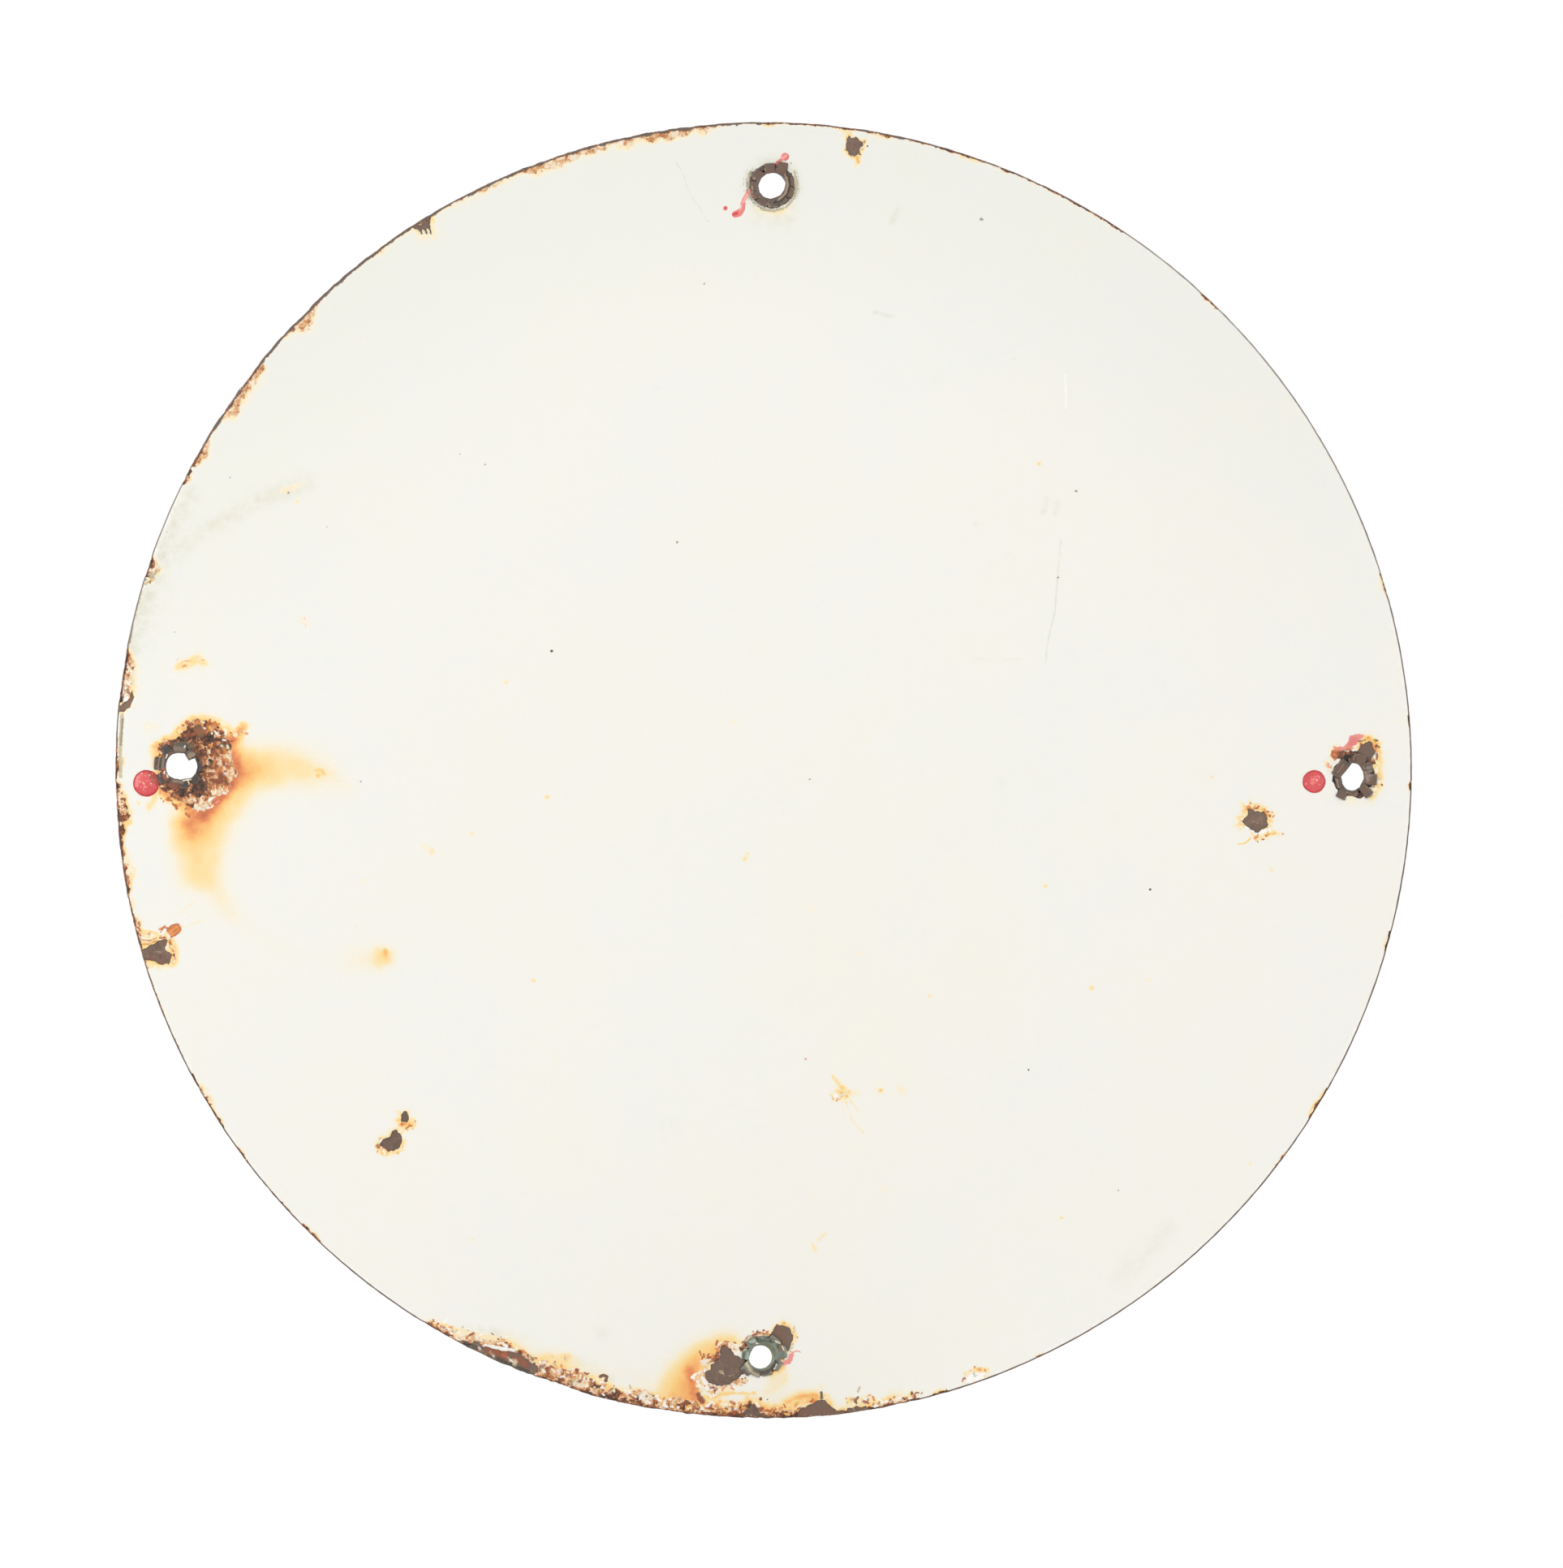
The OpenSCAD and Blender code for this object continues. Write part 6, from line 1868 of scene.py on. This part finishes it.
def tab_shadow_and_highlight_marks(spec):
    """Painted shadow along the sides of the tabs, in the slits between them, and a painted highlight inside
    each side and along each tip.
    """
    slit_shadows, edges = [], []
    for tab in spec["tabs"]:
        left, right, tip = tab_outline(spec, tab)
        inward = (np.array(right[0]) - np.array(left[0])) / tab.width * 0.26
        slit_shadows += [Mark("black", 0.11, left, 0.75, 0.7), Mark("black", 0.11, right, 0.75, 0.7)]
        edges += [Mark("brass_tan", 0.08, [left[0] + inward, left[1] + inward], 0.5, 0.8),
                  Mark("brass_tan", 0.09, tip, 0.55, 0.8)]
    return edges + slit_shadows


def joined(shells):
    """One mesh from several closed shells."""
    verts, faces, edge, start = [], [], [], 0
    for shell_verts, shell_faces, shell_edge in shells:
        verts.append(shell_verts)
        faces += [[start + i for i in face] for face in shell_faces]
        edge.append(shell_edge)
        start += len(shell_verts)
    return np.concatenate(verts), faces, np.concatenate(edge)


def dented(verts, amount, seed):
    """Small dents over a part."""
    x, y, z = verts.T
    shift = [fractal(x + 5 * axis, z + 2 * y, 0.9, seed + 20 * axis) - 0.5 for axis in range(3)]
    return verts + amount * np.stack(shift, -1)


def eyelet_layers(spec, marks, verts):
    """An eyelet's layers, with its marks on its back and its bore's wall in one plain tone."""
    xz = verts[:, [0, 2]]
    layers, paint = layers_at(xz, marks, 0)
    paint[:, 3] *= smooth(-3 * verts[:, 1] - 2.4)
    paint[BORE_ROWS[0] * AROUND:BORE_ROWS[1] * AROUND] = [*linear(spec["wall"]), 1]
    layers["stain"] = 0.45 * fractal(*xz.T, 2.2, 66)
    return layers, paint


def eyelet_piece(side, material):
    """A barrel and its tabs, dented and set in its hole."""
    spec = EYELETS[side]
    verts, faces, edge = joined([barrel(spec)] + [tab_shape(spec, tab) for tab in spec["tabs"]])
    verts = dented(verts, 0.14, 60)
    centre = np.array(HOLES[side])
    verts[:, [0, 2]] += centre
    piece = add_piece(f"eyelet_{side}_brass", verts, faces, material, [f"eyelet_{side}"])
    marks = [mark._replace(points=[tuple(np.array(p) + centre) for p in mark.points])
             for mark in tab_shadow_and_highlight_marks(spec) + EYELET_MARKS[side]]
    layers, paint = eyelet_layers(spec, marks, verts)
    store_layers(piece, layers, paint, edge)


for brown_eyelet in ("top", "right", "left"):
    eyelet_piece(brown_eyelet, BRASS)
eyelet_piece("bottom", GREEN_BRASS)

# Red enamel that ran onto the back

# Places and radii of the two drops
LEFT_DROP, LEFT_DROP_R = (-145.7, -4.0), 3.15
RIGHT_DROP, RIGHT_DROP_R = (128.5, -1.2), 2.72
# How far the foot of a drop sinks into the cover coat
SUNK = 0.03


def dome_profile(share):
    """Height of a dome at a share of its radius, as a share of its own height."""
    return np.sqrt(np.maximum(1 - share ** 2.6, 0))


def drop_faces(rings, count):
    """Faces of a dome: a fan round its top point, bands between its rings and a flat foot."""
    faces = [[0, 1 + k, 1 + (k + 1) % count] for k in range(count)]
    for ring in range(rings - 1):
        here, there = 1 + ring * count, 1 + (ring + 1) * count
        faces += [[here + k, there + k, there + (k + 1) % count, here + (k + 1) % count]
                  for k in range(count)]
    last = 1 + (rings - 1) * count
    return faces + [[last + k for k in reversed(range(count))]]


def drop_shell(centre, radius, height, seed):
    """A fired drop: a low dome with a slightly wandering outline."""
    rings = np.sin(np.linspace(0, math.pi / 2, 24))[1:]
    turns = np.linspace(0, 2 * math.pi, 96, endpoint=False)
    wander = 1 + 0.09 * (fractal(np.cos(turns) * 2 + 7, np.sin(turns) * 2, 1.5, seed) - 0.5)
    verts = [[centre[0], -(COVER_FACE + height), centre[1]]]
    for ring in rings:
        rise = COVER_FACE - SUNK + (height + SUNK) * float(dome_profile(ring))
        for turn, reach in zip(turns, wander):
            x = centre[0] + radius * ring * reach * math.cos(turn)
            z = centre[1] + radius * ring * reach * math.sin(turn)
            verts.append([x, -rise, z])
    verts = np.array(verts)
    bumps = 0.05 * (fractal(verts[:, 0], verts[:, 2], 1.0, seed + 3) - 0.5)
    verts[:, 1] -= bumps * (verts[:, 1] < -COVER_FACE - 0.1)
    return verts, drop_faces(len(rings), len(turns)), np.zeros(len(verts))


def smooth_path(points, count):
    """Distances along a line, and places at them on the line with its corners eased."""
    points = np.array(points, float)
    along = run_along(points)
    steps = np.linspace(0, along[-1], count)
    path = on_line(points, along, steps)
    for _ in range(4):
        path[1:-1] = (path[:-2] + 2 * path[1:-1] + path[2:]) / 4
    return along, steps, path


def run_profile():
    """Half circle over a foot, as shares of a run's half width and height."""
    turns = np.linspace(0, math.pi, 13)
    upper = [(math.cos(turn), math.sin(turn)) for turn in turns]
    return upper + [(math.cos(turn), -0.05) for turn in turns[::-1][1:-1]]


def run_shell(points, radii, height):
    """A fired run that follows a line, with a rounded back and a flat foot."""
    along, steps, path = smooth_path(points, 46)
    tangent = np.gradient(path, axis=0)
    tangent /= length(tangent)[:, None]
    across = np.stack([-tangent[:, 1], tangent[:, 0]], -1)
    width = np.interp(steps, along, radii)
    cap = np.minimum(np.minimum(steps, along[-1] - steps) / np.maximum(width, 0.1), 1)
    width = width * np.sqrt(np.maximum(1 - (1 - cap) ** 2, 0.0))
    profile = run_profile()
    count = len(profile)
    verts, faces = [], []
    for place, side, wide in zip(path, across, width):
        tall = height * min(1.0, wide / 0.5)
        for share, rise in profile:
            x, z = place + side * wide * share
            verts.append([x, -(COVER_FACE - 0.02 + tall * rise), z])
    for row in range(len(path) - 1):
        faces += band(row * count, (row + 1) * count, count)
    faces.append(list(reversed(range(count))))
    faces.append([(len(path) - 1) * count + k for k in range(count)])
    return np.array(verts), faces, np.zeros(len(verts))


def drop_marks(seed, centre, radius, glint_count):
    """A deeper red edge round a drop, and fine pale specks over its middle that are painted glints on the
    glaze.
    """
    edge = circle(centre, radius * 0.93, radius / 6).tolist()
    across = [(centre[0] + share * radius, centre[1] + rise * radius)
              for share, rise in ((-0.4, -0.3), (0.3, 0.3))]
    return ([Mark((190, 52, 58), 0.16 * radius, [*edge, edge[0]], 0.55, 1.0)]
            + crumbs(seed, glint_count, 0.55 * radius, ("cream", "pink", "pink"), *across, size=(0.1, 0.2),
                     strength=0.8, bed=0))


def red_piece(name, shells, marks, node, material):
    """One piece of red enamel from its drops and runs."""
    verts, faces, edge = joined(shells)
    piece = add_piece(name, verts, faces, material, [node])
    layers, paint = layers_at(verts[:, [0, 2]], marks, 0)
    store_layers(piece, layers, paint, edge)


red_piece("left_drop", [drop_shell(LEFT_DROP, LEFT_DROP_R, 0.42, 81)], [
    Mark("red_brown", 1.3, [(-144.4, -2.2), (-143.4, -3.6)], 0.5, 1),
    *drop_marks(131, LEFT_DROP, LEFT_DROP_R, 34)], "red_drop_left", DROP_RED)
red_piece("right_drop", [drop_shell(RIGHT_DROP, RIGHT_DROP_R, 0.4, 84)], [
    Mark((240, 118, 112), 1.9, [RIGHT_DROP], 0.5, 1),
    # Painted highlights: a small bright streak and spot on the glossy drop
    Mark("pink", 0.14, [(129.4, 0.1), (129.8, -0.3)], 0.9, 0.8),
    Mark("pink", 0.4, [(128, -1.6)], 0.5, 1),
    *drop_marks(132, RIGHT_DROP, RIGHT_DROP_R, 8)], "red_drop_right", DROP_RED)
red_piece("top_run", [
    run_shell([(-6.6, 133.2), (-6.9, 132), (-7.7, 131.1), (-9.3, 130.5)], [0.35, 0.62, 0.85, 0.72], 0.24),
    run_shell([(-5.6, 135.9), (-6.2, 134.8), (-7.0, 133.6)], [0.4, 0.52, 0.36], 0.12),
    drop_shell((-10.9, 132.2), 0.55, 0.12, 87),
    drop_shell((3.0, 144.4), 0.95, 0.2, 88),
    run_shell([(2.9, 144.3), (2.0, 143.6), (1.2, 142.9)], [0.5, 0.34, 0.3], 0.12)], [
    Mark((246, 176, 166), 0.5, [(3.2, 144.6), (2.4, 144)], 0.6, 1.0),
    Mark((246, 178, 168), 0.26, [(-5.8, 135.4), (-7.0, 133.2), (-7.4, 132)], 0.8, 0.9),
    Mark((214, 74, 78), 0.5, [(-8.2, 131), (-9.4, 130.6)], 0.7, 1.0),
    Mark((206, 70, 76), 0.4, [(-10.9, 132.2)], 0.8, 1.0)], "red_run_top", RUN_RED)


# Camera, light and floor, in metres

# Height that the photograph frames, and the camera's distance, place, roll and sensor
FRAME_H = 0.3684
CAMERA_D = 1.5
CAMERA_X, CAMERA_Z = 0.003455, -0.00287
CAMERA_ROLL = math.radians(0.5)
SENSOR = 36.0

# Each lamp's name, place, size and watts
LAMPS = [
    ("key_back", (-0.8, -1.1, 0.15), 0.7, 5.0), ("fill_back", (0.9, -1.0, -0.14), 0.9, 3.5),
    ("key_front", (0.8, 1.1, 0.6), 0.7, 5.2), ("fill_front", (-1.0, 1.0, -0.1), 0.9, 3.2),
]
WORLD_LEVEL = 0.70
WHITE = (1, 1, 1, 1)
FLOOR_HALF = 6.0
FLOOR_DROP = 0.0004


def add_camera():
    """Square on to the back, at the photograph's framing and its half degree of roll."""
    data = bpy.data.cameras.new("camera")
    data.sensor_width = SENSOR
    data.lens = SENSOR * CAMERA_D / FRAME_H
    data.clip_start, data.clip_end = 0.05, 20
    camera = bpy.data.objects.new("camera", data)
    turn = Matrix.Rotation(math.pi / 2, 4, "X") @ Matrix.Rotation(CAMERA_ROLL, 4, "Z")
    camera.matrix_world = Matrix.Translation((CAMERA_X, -CAMERA_D, CAMERA_Z)) @ turn
    bpy.context.scene.collection.objects.link(camera)
    bpy.context.scene.camera = camera


def add_lamp(name, place, size, watts):
    """A round lamp that points at the plate."""
    data = bpy.data.lights.new(name, "AREA")
    data.shape, data.size, data.energy = "DISK", size, watts
    lamp = bpy.data.objects.new(name, data)
    lamp.location = place
    lamp.rotation_euler = (-Vector(place)).to_track_quat("-Z", "Y").to_euler()
    bpy.context.scene.collection.objects.link(lamp)


def looked_at(g):
    """1 for the camera's rays and those from mirrors and through glass, and 0 for other light."""
    kinds = g.node("ShaderNodeLightPath").outputs
    return g.most(g.most(kinds["Is Camera Ray"], kinds["Is Glossy Ray"]), kinds["Is Transmission Ray"])


def add_world():
    """A white sky that lights the plate at a lower level than it is seen."""
    world = bpy.data.worlds.new("studio")
    bpy.context.scene.world = world
    world.use_nodes = True
    g = Graph(world.node_tree)
    inputs = {"Value": looked_at(g), "To Min": WORLD_LEVEL, "To Max": 1.0}
    strength = g.node("ShaderNodeMapRange", inputs).outputs[0]
    sky = g.node("ShaderNodeBackground", {"Color": WHITE, "Strength": strength}).outputs[0]
    g.node("ShaderNodeOutputWorld", {0: sky})


def floor_material():
    """Pale floor that is seen nearly white with the plate's shadow on it."""
    material, g = new_material("pale_floor")
    place = g.node("ShaderNodeTexCoord").outputs["Object"]
    tone = g.mix(g.noise(place, 3.0), (0.88, 0.88, 0.88, 1), (0.9, 0.9, 0.9, 1))
    shadowed = g.node("ShaderNodeBsdfDiffuse", {"Color": tone}).outputs[0]
    white = g.node("ShaderNodeEmission", {"Color": WHITE, "Strength": 1.05}).outputs[0]
    shares = {0: g.times(looked_at(g), 0.9), 1: shadowed, 2: white}
    g.node("ShaderNodeOutputMaterial", {0: g.node("ShaderNodeMixShader", shares).outputs[0]})
    return material


def add_floor():
    """A square floor just under the plate's lowest point."""
    level = CAD_BOX[0].z - FLOOR_DROP
    corners = [(x * FLOOR_HALF, y * FLOOR_HALF, level) for x, y in ((-1, -1), (1, -1), (1, 1), (-1, 1))]
    mesh = bpy.data.meshes.new("floor")
    mesh.from_pydata(corners, [], [(0, 1, 2, 3)])
    mesh.materials.append(floor_material())
    floor = bpy.data.objects.new("floor", mesh)
    bpy.context.scene.collection.objects.link(floor)


add_camera()
add_world()
add_floor()
for lamp_row in LAMPS:
    add_lamp(*lamp_row)
bpy.context.scene.view_settings.view_transform = "Standard"
